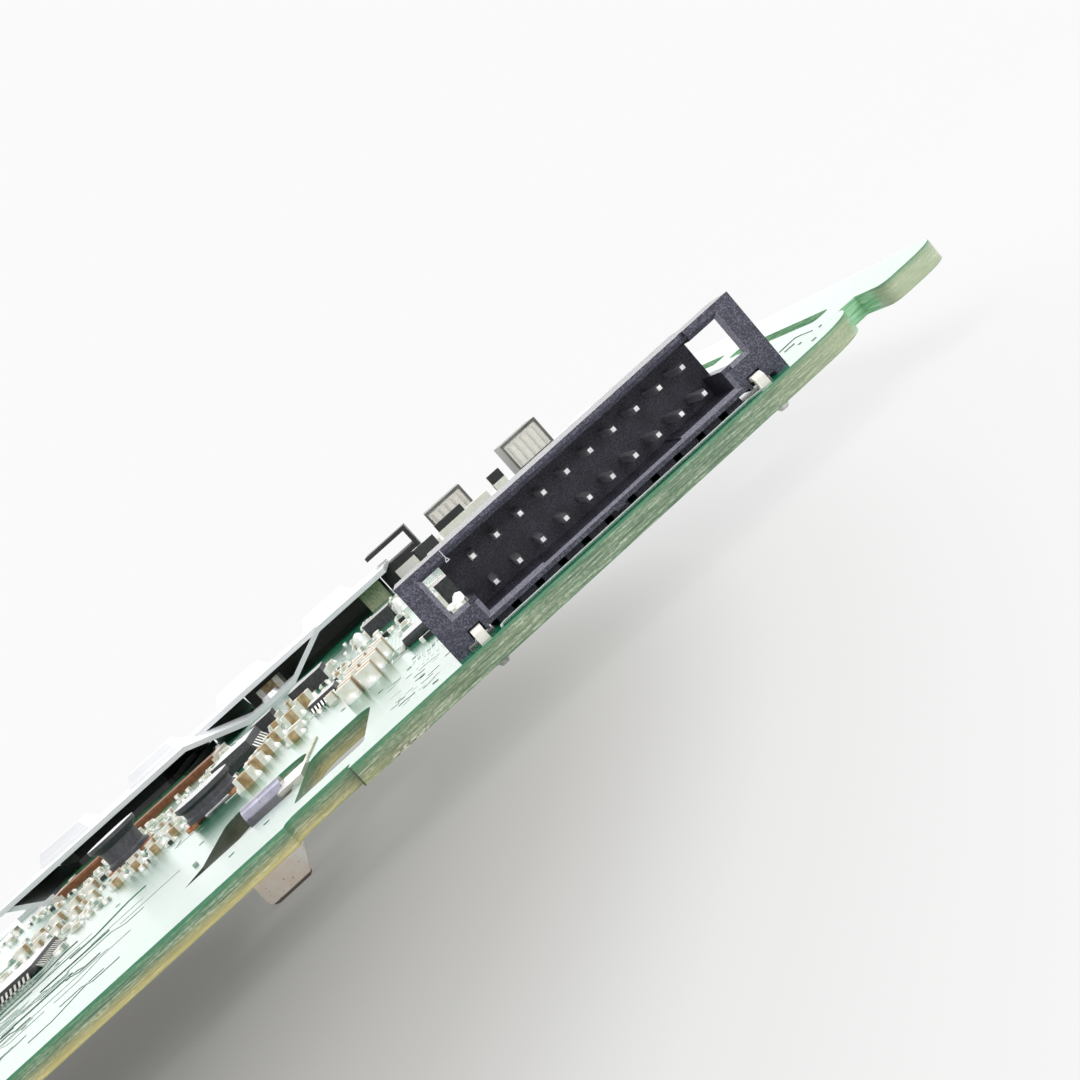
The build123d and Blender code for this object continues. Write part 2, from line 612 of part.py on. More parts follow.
def add_leads(x, y, reach, h, count, pitch, directions):
    """Rows of leads on the sides of a package that face the given directions."""
    width = pitch * lead_share
    with BuildPart(mode=Mode.PRIVATE) as lead:
        extrude_outline(Plane((0, width / 2, board_t), x_dir=(1, 0, 0), z_dir=(0, -1, 0)),
                        lead_section(reach, h), width)
    with Locations(*[Location((*at(x, y), 0), (0, 0, angle)) for angle in directions]):
        with GridLocations(1, pitch, 1, count):
            add(lead.part)


with BuildPart() as controller_chip:
    add_package(controller_x, controller_y, controller_w, controller_w, controller_h)
save(controller_chip, "controller_chip")

with BuildPart() as controller_leads:
    add_leads(controller_x, controller_y, controller_w / 2, controller_h,
              controller_lead_count, controller_pitch, (0, 90, 180, 270))
save(controller_leads, "controller_leads")

with BuildPart() as interface_chip:
    add_package(interface_x, interface_y, interface_w, interface_l, interface_h)
save(interface_chip, "interface_chip")

with BuildPart() as interface_leads:
    add_leads(interface_x, interface_y, interface_l / 2, interface_h,
              interface_lead_count, interface_pitch, (90, 270))
save(interface_leads, "interface_leads")

with BuildPart() as supply_chip:
    add_package(supply_x, supply_y, supply_w, supply_l, supply_h)
save(supply_chip, "supply_chip")

with BuildPart() as supply_leads:
    add_leads(supply_x, supply_y, supply_w / 2, supply_h,
              supply_lead_count, supply_pitch, (0, 180))
save(supply_leads, "supply_leads")

with BuildPart() as flash_chip:
    add_package(flash_x, flash_y, flash_w, flash_l, flash_h)
save(flash_chip, "flash_chip")

with BuildPart() as flash_leads:
    add_leads(flash_x, flash_y, flash_w / 2, flash_h, flash_lead_count, flash_pitch, (0, 180))
save(flash_leads, "flash_leads")


# ---- inductors ----------------------------------------------------------------------------------------
def drum_section(top_r, neck, foot_r, h):
    """Radius and height at each step of a drum core: foot flange, waist and top flange."""
    low, high = drum_base_t + drum_flange, h - drum_flange
    return [(foot_r, drum_base_t), (foot_r, low), (neck, low + foot_r - neck),
            (neck, high - top_r + neck), (top_r, high), (top_r, h)]


with BuildPart() as drum_inductors:
    for x, y, top_r, neck, foot_r, h in drums:
        steps = drum_section(top_r, neck, foot_r, h)
        for (low_r, low_z), (high_r, high_z) in zip(steps, steps[1:]):
            add_frustum(x, y, drum_sides, low_r, low_z, high_r, high_z)
save(drum_inductors, "drum_inductors")

with BuildPart() as drum_terminals:
    for x, y, top_r, neck, foot_r, h in drums:
        for side in sides:
            add_block(x + side * (foot_r - drum_terminal_w / 2 + drum_terminal_reach), y,
                      drum_terminal_w, foot_r, 0, drum_base_t)
save(drum_terminals, "drum_terminals")

with BuildPart() as moulded_inductors:
    for x, y, w, l, h in moulded:
        with BuildSketch(top_plane(0)) as base:
            with Locations((x, y)):
                Rectangle(w, l)
            chamfer(base.vertices(), moulded_chamfer)
        extrude(amount=h)
save(moulded_inductors, "moulded_inductors")

with BuildPart() as moulded_terminals:
    for x, y, w, l, h in moulded:
        for side in sides:
            add_block(x + side * (w + moulded_terminal_t) / 2, y, moulded_terminal_t,
                      l - 2 * moulded_chamfer, 0, moulded_terminal_share * h)
save(moulded_terminals, "moulded_terminals")


# ---- chip capacitors and resistors -----------------------------------------------------------------------
def row_places(x, y, dx, dy, count):
    """Places of the chips in a row."""
    return [(x + i * dx, y + i * dy) for i in range(count)]


def add_chip_bodies(rows):
    """Ceramic middles of the chips in the given rows, between their metal ends."""
    for x, y, dx, dy, count, length, width, h, turned in rows:
        middle = length * (1 - 2 * end_share)
        with BuildSketch(top_plane(0)) as row:
            with Locations(*row_places(x, y, dx, dy, count)):
                Rectangle(middle, width, rotation=90 * turned)
        extrude(row.sketch, amount=h)


def add_chip_ends(rows):
    """The two metal ends of every chip in the given rows."""
    for x, y, dx, dy, count, length, width, h, turned in rows:
        end = length * end_share
        shift = (length - end) / 2
        step = (0, shift) if turned else (shift, 0)
        with BuildSketch(top_plane(0)) as row:
            for side in sides:
                with Locations(*row_places(x + side * step[0], y + side * step[1], dx, dy, count)):
                    Rectangle(end, width, rotation=90 * turned)
        extrude(row.sketch, amount=h)


with BuildPart() as capacitor_bodies:
    add_chip_bodies(capacitor_rows)
save(capacitor_bodies, "capacitor_bodies")

with BuildPart() as capacitor_ends:
    add_chip_ends(capacitor_rows)
save(capacitor_ends, "capacitor_ends")

with BuildPart() as resistor_bodies:
    add_chip_bodies(resistor_rows)
save(resistor_bodies, "resistor_bodies")

with BuildPart() as resistor_ends:
    add_chip_ends(resistor_rows)
save(resistor_ends, "resistor_ends")

# ---- flat cable connector ------------------------------------------------------------------------
with BuildPart() as cable_connector_body:
    add_block(cable_x, cable_y, cable_w, cable_l, 0, cable_h)
    add_block(cable_x, cable_y - cable_l / 2 + cable_slot_l / 2, cable_w - 2 * cable_wall,
              cable_slot_l, cable_slot_z, cable_h, Mode.SUBTRACT)
save(cable_connector_body, "cable_connector_body")

with BuildPart() as cable_connector_flap:
    add_block(cable_x, cable_y - cable_l / 2 + cable_slot_l / 2, cable_w - 2 * cable_wall,
              cable_slot_l, cable_h - cable_flap_t, cable_h)
save(cable_connector_flap, "cable_connector_flap")

with BuildPart() as cable_contacts:
    with BuildSketch(top_plane(0)):
        with Locations((cable_x, cable_y + cable_l / 2 + cable_tail_l / 2)):
            with GridLocations(cable_pitch, 1, cable_contact_count, 1):
                Rectangle(cable_contact_w, cable_tail_l)
    extrude(amount=lead_t)
save(cable_contacts, "cable_contacts")

# ---- signal sockets ------------------------------------------------------------------------------
socket_rear = board_l + socket_overhang
socket_front = socket_rear - socket_depth
core_w = socket_w - 2 * socket_wall

with BuildPart() as socket_shells:
    for x in socket_places:
        with BuildSketch(front_plane(socket_rear)) as tube:
            with Locations((x, socket_h / 2)):
                Rectangle(socket_w, socket_h)
                Rectangle(core_w, socket_h - 2 * socket_wall, mode=Mode.SUBTRACT)
        extrude(amount=socket_depth)
save(socket_shells, "socket_shells")

with BuildPart() as socket_cores:
    for x in socket_places:
        add_block(x, socket_front + socket_core_gap + socket_back / 2, core_w, socket_back,
                  socket_wall, socket_h - socket_wall)
        tongue_l = socket_depth - socket_core_gap - socket_back - socket_core_gap
        add_block(x, socket_rear - socket_core_gap - tongue_l / 2, core_w - 2 * socket_wall,
                  tongue_l, socket_h / 2 - socket_floor / 2, socket_h / 2 + socket_floor / 2)
save(socket_cores, "socket_cores")

with BuildPart() as socket_contacts:
    for x in socket_places:
        with BuildSketch(top_plane(socket_wall)) as strips:
            with Locations((x, socket_front + socket_core_gap - socket_contact_t / 2)):
                with GridLocations(core_w / socket_contact_count, 1, socket_contact_count, 1):
                    Rectangle(socket_contact_w, socket_contact_t)
        extrude(amount=socket_h - 3 * socket_wall)
save(socket_contacts, "socket_contacts")

with BuildPart() as jack_shield:
    half_jack = jack_w / 2
    extrude_outline(front_plane(socket_rear),
                    [(jack_x - half_jack, jack_h), (jack_x + half_jack, jack_h),
                     (jack_x + half_jack, 0), (jack_x + half_jack - jack_wall, 0),
                     (jack_x + half_jack - jack_wall, jack_h - jack_wall),
                     (jack_x - half_jack, jack_h - jack_wall)], socket_depth)
save(jack_shield, "jack_shield")

with BuildPart() as jack_base:
    add_block(jack_x - jack_wall / 2, (socket_front + socket_rear) / 2, jack_w - jack_wall,
              socket_depth, 0, jack_base_h)
save(jack_base, "jack_base")

with BuildPart() as jack_insert:
    add_block(jack_plug_x, socket_front - jack_plug_t / 2, jack_plug_w, jack_plug_t,
              0, jack_plug_h)
save(jack_insert, "jack_insert")

# ---- low latch connectors ------------------------------------------------------------------------
with BuildPart() as latch_connector_bodies:
    for x, y, w, l, h, bar_x, bar_w, bar_l, bar_h in latch_connectors:
        add_block(x, y, w, l, 0, h)
save(latch_connector_bodies, "latch_connector_bodies")

with BuildPart() as latch_connector_bars:
    for x, y, w, l, h, bar_x, bar_w, bar_l, bar_h in latch_connectors:
        add_block(bar_x, y - l / 2 + bar_l / 2, bar_w, bar_l, h, h + bar_h)
save(latch_connector_bars, "latch_connector_bars")
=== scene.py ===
from math import cos, pi, radians, sin
from random import Random

import bmesh
import bpy
from mathutils import Matrix, Vector


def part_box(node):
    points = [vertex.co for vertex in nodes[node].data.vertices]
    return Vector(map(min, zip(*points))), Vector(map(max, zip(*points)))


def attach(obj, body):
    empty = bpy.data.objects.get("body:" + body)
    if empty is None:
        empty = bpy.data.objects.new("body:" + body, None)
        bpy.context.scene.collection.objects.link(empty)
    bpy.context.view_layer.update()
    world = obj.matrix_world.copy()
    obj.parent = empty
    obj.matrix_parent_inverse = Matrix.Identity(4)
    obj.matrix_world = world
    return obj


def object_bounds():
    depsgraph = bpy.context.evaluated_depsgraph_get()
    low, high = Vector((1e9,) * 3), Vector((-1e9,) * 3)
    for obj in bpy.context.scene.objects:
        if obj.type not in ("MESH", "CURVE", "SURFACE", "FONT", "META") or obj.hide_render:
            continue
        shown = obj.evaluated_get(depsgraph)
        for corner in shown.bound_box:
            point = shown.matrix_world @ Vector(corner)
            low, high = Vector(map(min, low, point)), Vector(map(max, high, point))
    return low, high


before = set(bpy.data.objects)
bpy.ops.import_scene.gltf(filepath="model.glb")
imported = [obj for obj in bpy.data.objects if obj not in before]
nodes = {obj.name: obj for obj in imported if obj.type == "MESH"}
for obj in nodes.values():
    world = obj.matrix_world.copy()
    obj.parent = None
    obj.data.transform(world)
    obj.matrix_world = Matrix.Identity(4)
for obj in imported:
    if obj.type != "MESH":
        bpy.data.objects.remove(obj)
cad_low, cad_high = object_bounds()
MM = 0.001


# ---- The view --------------------------------------------------------------------------------
# A close-up camera just in front of the power header, a little above the board's
# level. It is rolled, so that the near edge of the board runs up the frame.
header_low, header_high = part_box("header_housing")
board_low, board_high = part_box("board")
header_x = (header_low[0] + header_high[0]) / 2
rail_overhang = 0.4 * MM                 # how far the break-off rail passes the near edge
near_y = board_low[1] + rail_overhang
top_z = board_high[2]


def at_x(x):
    """X of a place in millimetres right of the header's middle."""
    return header_x + x * MM


def at_y(y):
    """Y of a place in millimetres in from the near edge."""
    return near_y + y * MM


def on_board(x, y, z=0.0):
    """Place from millimetres: right of the header's middle, in from the near edge, up."""
    return Vector((at_x(x), at_y(y), top_z + z * MM))


def new_object(name, data):
    """Object that holds the data, linked into the scene."""
    made = bpy.data.objects.new(name, data)
    bpy.context.scene.collection.objects.link(made)
    return made


camera_data = bpy.data.cameras.new("studio_camera")
camera_data.sensor_width = 36
camera_data.lens = 36.67
camera_data.clip_start = 0.001
camera = new_object("studio_camera", camera_data)
camera_place = on_board(-9.48, -66.75, 9.73)
turn_right, look_down, roll = radians(3.54), radians(6.19), radians(-41.77)
camera.matrix_world = (
    Matrix.Translation(camera_place)
    @ Matrix.Rotation(-turn_right, 4, "Z")
    @ Matrix.Rotation(pi / 2 - look_down, 4, "X")
    @ Matrix.Rotation(roll, 4, "Z"))
bpy.context.scene.camera = camera
bpy.context.scene.view_settings.view_transform = "Standard"


# ---- The studio: paper floor with a painted shadow, white surround and soft lamps ------------
# The paper is painted from white to a warm grey pool in front of the board's left half: a
# painted shadow of the board. The surround shows white to the eye and to metal, and lights the
# object more weakly.
def add_node(tree, kind, **values):
    """Shader node with its settings and, by socket name, its input values."""
    made = tree.nodes.new(kind)
    for name, value in values.items():
        if name in made.inputs.keys():
            made.inputs[name].default_value = value
        else:
            setattr(made, name, value)
    return made


def math_node(tree, operation, first, second=0.0):
    """Math node on one or two values, each a socket or a plain number."""
    made = add_node(tree, "ShaderNodeMath", operation=operation)
    for socket, value in zip(made.inputs, (first, second)):
        if isinstance(value, (int, float)):
            socket.default_value = value
        else:
            tree.links.new(value, socket)
    return made.outputs[0]


def map_range(tree, value, low, high, to_low, to_high):
    """Value moved from one range to another, and held inside it."""
    made = add_node(tree, "ShaderNodeMapRange", **{"From Min": low, "From Max": high,
                                                   "To Min": to_low, "To Max": to_high})
    tree.links.new(value, made.inputs["Value"])
    return made.outputs[0]


def colour_ramp(tree, factor, stops):
    """Colour ramp from a list of (position, colour)."""
    ramp = tree.nodes.new("ShaderNodeValToRGB")
    ramp.color_ramp.elements[0].position = stops[0][0]
    ramp.color_ramp.elements[0].color = (*stops[0][1], 1)
    ramp.color_ramp.elements[1].position = stops[-1][0]
    ramp.color_ramp.elements[1].color = (*stops[-1][1], 1)
    for position, colour in stops[1:-1]:
        ramp.color_ramp.elements.new(position).color = (*colour, 1)
    tree.links.new(factor, ramp.inputs["Fac"])
    return ramp.outputs["Color"]


def rgb(red, green, blue):
    """Linear colour from the 0 to 255 levels of a screen."""
    return tuple(((c / 255 + 0.055) / 1.055) ** 2.4 if c > 10 else c / 255 / 12.92
                 for c in (red, green, blue))


def seen_directly(tree):
    """One for rays of the eye, of mirrors and of glass, and zero for light that is scattered."""
    path = tree.nodes.new("ShaderNodeLightPath")
    mirror = math_node(tree, "MAXIMUM", path.outputs["Is Glossy Ray"],
                       path.outputs["Is Transmission Ray"])
    return math_node(tree, "MAXIMUM", path.outputs["Is Camera Ray"], mirror)


world = bpy.data.worlds.new("studio_surround")
bpy.context.scene.world = world
world.use_nodes = True
tree = world.node_tree
surround = tree.nodes["Background"]
surround.inputs["Color"].default_value = (1, 1, 1, 1)
unseen_strength, seen_strength = 0.60, 0.955
tree.links.new(map_range(tree, seen_directly(tree), 0, 1, unseen_strength, seen_strength),
               surround.inputs["Strength"])


def add_soft_lamp(name, place, target, width, height, power):
    """Rectangular studio lamp that faces a target and is not itself in the picture."""
    data = bpy.data.lights.new(name, "AREA")
    data.shape = "RECTANGLE"
    data.size = width
    data.size_y = height
    data.energy = power
    lamp = new_object(name, data)
    lamp.location = place
    lamp.rotation_euler = (target - place).to_track_quat("-Z", "Y").to_euler()
    lamp.visible_camera = False


add_soft_lamp("lamp_over", on_board(60, 20, 600), on_board(-25, 50), 0.5, 0.5, 1.5)
add_soft_lamp("lamp_front", on_board(180, -420, 300), on_board(0, 0), 0.35, 0.35, 1.25)
add_soft_lamp("lamp_behind", on_board(-60, 720, 120), on_board(-20, 40), 1.6, 0.26, 1.15)


def new_material(name, base, roughness, metallic=0.0):
    """Principled material with plain base values; returns it with its tree and shader."""
    material = bpy.data.materials.new(name)
    material.use_nodes = True
    shader = material.node_tree.nodes["Principled BSDF"]
    shader.inputs["Base Color"].default_value = (*base, 1)
    shader.inputs["Roughness"].default_value = roughness
    shader.inputs["Metallic"].default_value = metallic
    return material, material.node_tree, shader


floor_mesh = bpy.data.meshes.new("studio_floor")
bm = bmesh.new()
bmesh.ops.create_grid(bm, x_segments=1, y_segments=1, size=3.0,
                      matrix=Matrix.Translation((0, 0, cad_low[2])))
bm.to_mesh(floor_mesh)
bm.free()
floor = new_object("studio_floor", floor_mesh)
paper, tree, shader = new_material("paper_with_painted_shadow", (0.90, 0.90, 0.89), 0.9)
shader.inputs["Specular IOR Level"].default_value = 0.0
shadow_middle, shadow_size = on_board(-62, 5), 120 * MM
place = tree.nodes.new("ShaderNodeTexCoord")
from_shadow_middle = add_node(tree, "ShaderNodeMapping", Location=(-shadow_middle.x, -shadow_middle.y, -cad_low[2]))
tree.links.new(place.outputs["Object"], from_shadow_middle.inputs["Vector"])
distance = add_node(tree, "ShaderNodeVectorMath", operation="LENGTH")
tree.links.new(from_shadow_middle.outputs["Vector"], distance.inputs[0])
reach = math_node(tree, "DIVIDE", distance.outputs["Value"], shadow_size)
# painted shadow: warm grey round the middle of the pool, white further out
painted_shadow_grade = colour_ramp(tree, reach, [
    (0.0, rgb(112, 111, 108)), (0.19, rgb(128, 127, 123)), (0.30, rgb(158, 157, 153)),
    (0.42, rgb(187, 186, 182)), (0.475, rgb(205, 204, 202)), (0.54, rgb(231, 231, 230)),
    (0.64, rgb(245, 245, 245)), (0.8, rgb(249, 249, 249)), (1.0, rgb(250, 250, 250))])
glow = tree.nodes.new("ShaderNodeEmission")
tree.links.new(painted_shadow_grade, glow.inputs["Color"])
glow_share = map_range(tree, reach, 0.9, 1.8, 0.9, 1.0)
mixed = tree.nodes.new("ShaderNodeMixShader")
tree.links.new(math_node(tree, "MULTIPLY", glow_share, seen_directly(tree)), mixed.inputs["Fac"])
tree.links.new(shader.outputs["BSDF"], mixed.inputs[1])
tree.links.new(glow.outputs["Emission"], mixed.inputs[2])
tree.links.new(mixed.outputs[0], tree.nodes["Material Output"].inputs["Surface"])
floor_mesh.materials.append(paper)


# ---- The printed circuit board ---------------------------------------------------------------
# Glass-epoxy laminate with green solder lacquer on both faces. The routed edge shows the
# tan layers of glass cloth, with a greener skin at the top.
def object_coords(tree, scale=(1, 1, 1)):
    """Object coordinates through a Mapping node of their own."""
    place = tree.nodes.new("ShaderNodeTexCoord")
    mapping = add_node(tree, "ShaderNodeMapping", Scale=scale)
    tree.links.new(place.outputs["Object"], mapping.inputs["Vector"])
    return mapping.outputs["Vector"]


def noise(tree, coords, scale, detail=3.0, roughness=0.55):
    """Noise value over the given coordinates."""
    made = add_node(tree, "ShaderNodeTexNoise", Scale=scale, Detail=detail, Roughness=roughness)
    tree.links.new(coords, made.inputs["Vector"])
    return made.outputs["Fac"]


def band(tree, value, low, high, ease, strength=1.0):
    """Strength inside a span of values, and zero outside it, with eased ends."""
    rising = map_range(tree, value, low - ease, low, 0, strength)
    return math_node(tree, "MULTIPLY", rising, map_range(tree, value, high, high + ease, 1, 0))


def mix_colours(tree, factor, first, second):
    """Mix of two colours, each a socket or a plain colour."""
    made = add_node(tree, "ShaderNodeMix", data_type="RGBA")
    if isinstance(factor, (int, float)):
        made.inputs["Factor"].default_value = factor
    else:
        tree.links.new(factor, made.inputs["Factor"])
    for socket, colour in zip((made.inputs[6], made.inputs[7]), (first, second)):
        if isinstance(colour, tuple):
            socket.default_value = (*colour, 1)
        else:
            tree.links.new(colour, socket)
    return made.outputs[2]


def blend(tree, value, low, high, first, second, most=1):
    """Mix that turns from the first colour to the second over a range of values."""
    return mix_colours(tree, map_range(tree, value, low, high, 0, most), first, second)


def split(tree, kind, output):
    """X, Y and Z of what a node of that kind gives."""
    parts = tree.nodes.new("ShaderNodeSeparateXYZ")
    tree.links.new(tree.nodes.new(kind).outputs[output], parts.inputs[0])
    return parts.outputs


def add_bump(tree, shader, height, strength, depth, under=None):
    """Bump from a height value, so many millimetres deep, over an earlier bump if there is one."""
    made = add_node(tree, "ShaderNodeBump", Strength=strength, Distance=depth * MM)
    tree.links.new(height, made.inputs["Height"])
    if under is not None:
        tree.links.new(under, made.inputs["Normal"])
    tree.links.new(made.outputs["Normal"], shader.inputs["Normal"])
    return made.outputs["Normal"]


def paint(material, *names):
    """Gives CAD nodes a material in every slot."""
    for name in names:
        mesh = nodes[name].data
        if not mesh.materials:
            mesh.materials.append(material)
        for i in range(len(mesh.materials)):
            mesh.materials[i] = material


def lacquered(name, base, roughness, coat_roughness):
    """Material with the clear gloss of solder lacquer over it."""
    material, tree, shader = new_material(name, base, roughness)
    shader.inputs["Specular IOR Level"].default_value = 0.6
    shader.inputs["Coat Weight"].default_value = 0.52
    shader.inputs["Coat Roughness"].default_value = coat_roughness
    return material, tree, shader


laminate, tree, shader = lacquered("green_laminate", rgb(10, 104, 72), 0.24, 0.2)
# one on the two faces of the board, and zero on its cut edge
facing = split(tree, "ShaderNodeNewGeometry", "Normal")
flat = map_range(tree, math_node(tree, "ABSOLUTE", facing["Z"]), 0.4, 0.6, 0, 1)
# lacquer: darker over bare cloth, lighter over copper, and faintly clouded
copper = map_range(tree, noise(tree, object_coords(tree), 60, 2), 0.47, 0.53, 0, 1)
clouds = noise(tree, object_coords(tree), 400, 4)
lacquer = mix_colours(tree, copper, rgb(8, 98, 68), rgb(16, 118, 84))
lacquer = blend(tree, clouds, 0.3, 0.7, lacquer, rgb(40, 135, 100), 0.25)
# cut edge: layers of cloth that run along it
place = split(tree, "ShaderNodeTexCoord", "Object")
through = math_node(tree, "DIVIDE", place["Z"], top_z)
layers = noise(tree, object_coords(tree, (420, 420, 8200)), 1, 3, 0.65)
fibres = noise(tree, object_coords(tree, (3200, 3200, 11000)), 1, 2, 0.6)
edge_tone = colour_ramp(tree, layers, [
    (0.34, rgb(70, 90, 68)), (0.44, rgb(116, 132, 106)), (0.54, rgb(144, 156, 130)),
    (0.66, rgb(200, 206, 184))])
stain = map_range(tree, noise(tree, object_coords(tree, (1, 1, 3)), 48, 3), 0.46, 0.64, 0, 0.4)
edge_tone = mix_colours(tree, stain, edge_tone, rgb(158, 144, 98))
edge_tone = blend(tree, fibres, 0.42, 0.66, edge_tone, rgb(76, 104, 78), 0.75)
# the left of the near edge has yellowed along its foot
yellowed = math_node(tree, "MULTIPLY", map_range(tree, through, 0.55, 0.1, 0, 0.65),
                     map_range(tree, place["X"], at_x(-19), at_x(-29), 0, 1))
edge_tone = mix_colours(tree, yellowed, edge_tone, rgb(216, 192, 118))
# painted shade: the wall of the clip's cut-out, left of the leg, is painted a near-black brown where it
# lies in shade
cut_out_wall_shade = math_node(
    tree, "MULTIPLY",
    band(tree, place["X"], at_x(-39.5), at_x(-34.2), 0.8 * MM, 0.95),
    band(tree, place["Y"], at_y(10.5), at_y(25.0), 1.0 * MM))
painted_shade_brown = blend(tree, fibres, 0.4, 0.64, rgb(16, 11, 8), rgb(74, 54, 36))
edge_tone = mix_colours(tree, cut_out_wall_shade, edge_tone, painted_shade_brown)
# a dark line painted at the corner where the recess begins, as painted shade, and a snapped bridge at the
# foot
recess_corner_shade = math_node(
    tree, "MULTIPLY",
    band(tree, place["X"], at_x(-23.25), at_x(-23.08), 0.03 * MM, 0.85),
    map_range(tree, place["Y"], at_y(1.4), at_y(1.2), 0, 1))
edge_tone = mix_colours(tree, recess_corner_shade, edge_tone, rgb(22, 34, 24))
snapped = math_node(
    tree, "MULTIPLY",
    band(tree, place["X"], at_x(-20.6), at_x(-18.0), 0.3 * MM, 0.8),
    map_range(tree, through, 0.2, 0.1, 0, 1))
splinters = blend(tree, fibres, 0.44, 0.56, rgb(74, 56, 34), rgb(232, 226, 204))
edge_tone = mix_colours(tree, snapped, edge_tone, splinters)
# towards its right end the edge is paler, and the walls behind it, skinned with lacquer, are painted a
# green that is lightened as painted light, since little lamp light reaches them
edge_tone = blend(tree, place["X"], at_x(10), at_x(20), edge_tone, rgb(214, 222, 186), 0.5)
lightened_walls = math_node(tree, "MULTIPLY",
                  map_range(tree, place["X"], at_x(15.0), at_x(16.0), 0, 0.85),
                  map_range(tree, place["Y"], at_y(1.0), at_y(2.0), 0, 1))
lightened_green = blend(tree, layers, 0.4, 0.6, rgb(110, 186, 130), rgb(196, 240, 204))
edge_tone = mix_colours(tree, lightened_walls, edge_tone, lightened_green)
# green lacquer has run down over the top of the edge: far at the left, less at the right
deep_skin = colour_ramp(tree, through, [
    (0.0, (0.5, 0.5, 0.5)), (0.06, (0.06, 0.06, 0.06)), (0.45, (0.08, 0.08, 0.08)),
    (0.74, (0.42, 0.42, 0.42)), (0.99, (0.94, 0.94, 0.94))])
thin_skin = colour_ramp(tree, through, [
    (0.0, (0.4, 0.4, 0.4)), (0.06, (0.12, 0.12, 0.12)), (0.7, (0.14, 0.14, 0.14)),
    (0.86, (0.34, 0.34, 0.34)), (0.99, (0.9, 0.9, 0.9))])
skin = blend(tree, place["X"], at_x(-24), at_x(-12), deep_skin, thin_skin)
marked = math_node(tree, "MAXIMUM", math_node(tree, "MAXIMUM", cut_out_wall_shade, lightened_walls), recess_corner_shade)
skin = mix_colours(tree, marked, skin, (0.1, 0.1, 0.1))
edge_colour = mix_colours(tree, skin, edge_tone, rgb(34, 128, 88))
tree.links.new(mix_colours(tree, flat, edge_colour, lacquer), shader.inputs["Base Color"])
roughness = mix_colours(tree, flat, (0.62, 0.62, 0.62), (0.24, 0.24, 0.24))
tree.links.new(roughness, shader.inputs["Roughness"])
# the weave of the cloth and the copper show faintly through the lacquer
threads = []
for way in "XY":
    weave = add_node(tree, "ShaderNodeTexWave", Scale=1.0, Distortion=1.5, bands_direction=way)
    tree.links.new(object_coords(tree, (320, 320, 320)), weave.inputs["Vector"])
    threads.append(weave.outputs["Fac"])
cloth = math_node(tree, "MAXIMUM", *threads)
relief = add_bump(tree, shader, math_node(tree, "ADD", cloth, copper), 0.25, 0.02)
add_bump(tree, shader, layers, 0.5, 0.03, relief)
paint(laminate, "board")


# Copper tracks are etched and lie under the lacquer, in bundles that run side by side and
# turn together by 45 degrees. They stand a few hundredths of a millimetre proud.
def link(name, bm, material):
    """Finished piece from a bmesh, at the origin, on the board's body."""
    mesh = bpy.data.meshes.new(name)
    bm.to_mesh(mesh)
    bm.free()
    mesh.materials.append(material)
    made = new_object(name, mesh)
    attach(made, "root")


def add_ribbon(bm, points, width, low, high):
    """Flat ribbon along a path of (x, y) points on the board, between two heights."""
    places = [on_board(x, y, low) for x, y in points]
    across = []
    for i, place in enumerate(places):
        before = (place - places[i - 1]).normalized() if i else None
        after = (places[i + 1] - place).normalized() if i + 1 < len(places) else None
        way = ((before or after) + (after or before)).normalized()
        stretch = 1 / max(0.5, way.dot(before or after))
        across.append(Vector((-way.y, way.x, 0)) * width * MM / 2 * stretch)
    left = bm.verts.new(places[0] + across[0])
    right = bm.verts.new(places[0] - across[0])
    edge = bm.edges.new((left, right))
    faces = []
    for place, side in zip(places[1:], across[1:]):
        grown = bmesh.ops.extrude_edge_only(bm, edges=[edge])["geom"]
        ends = [v for v in grown if isinstance(v, bmesh.types.BMVert)]
        towards_left = left.co - right.co
        ends.sort(key=lambda v: (v.co - right.co).dot(towards_left), reverse=True)
        left, right = ends
        left.co, right.co = place + side, place - side
        edge = bm.edges.get((left, right))
        faces += [f for f in grown if isinstance(f, bmesh.types.BMFace)]
    raised = bmesh.ops.extrude_face_region(bm, geom=faces)["geom"]
    bmesh.ops.translate(bm, vec=(0, 0, (high - low) * MM),
                        verts=[v for v in raised if isinstance(v, bmesh.types.BMVert)])
    bmesh.ops.recalc_face_normals(bm, faces=bm.faces)


def turn_gain(angle, following):
    """Length that a track gains or loses at a turn, for each step sideways."""
    half = radians((following - angle + 180) % 360 - 180) / 2
    return sin(half) / cos(half)


def add_bundle(bm, start, legs, count, pitch, width, high):
    """Bundle of tracks: one path of (heading, length) legs, repeated side by side."""
    heading = radians(legs[0][0])
    aside = Vector((-sin(heading), cos(heading)))
    for k in range(count):
        point = Vector(start) + aside * k * pitch
        path = [tuple(point)]
        for i, (angle, length) in enumerate(legs):
            turn = 0.0
            if i + 1 < len(legs):
                turn -= k * pitch * turn_gain(angle, legs[i + 1][0])
            if i:
                turn -= k * pitch * turn_gain(legs[i - 1][0], angle)
            point = point + Vector((cos(radians(angle)), sin(radians(angle)))) * (length + turn)
            path.append(tuple(point))
        add_ribbon(bm, path, width, 0.0, high)


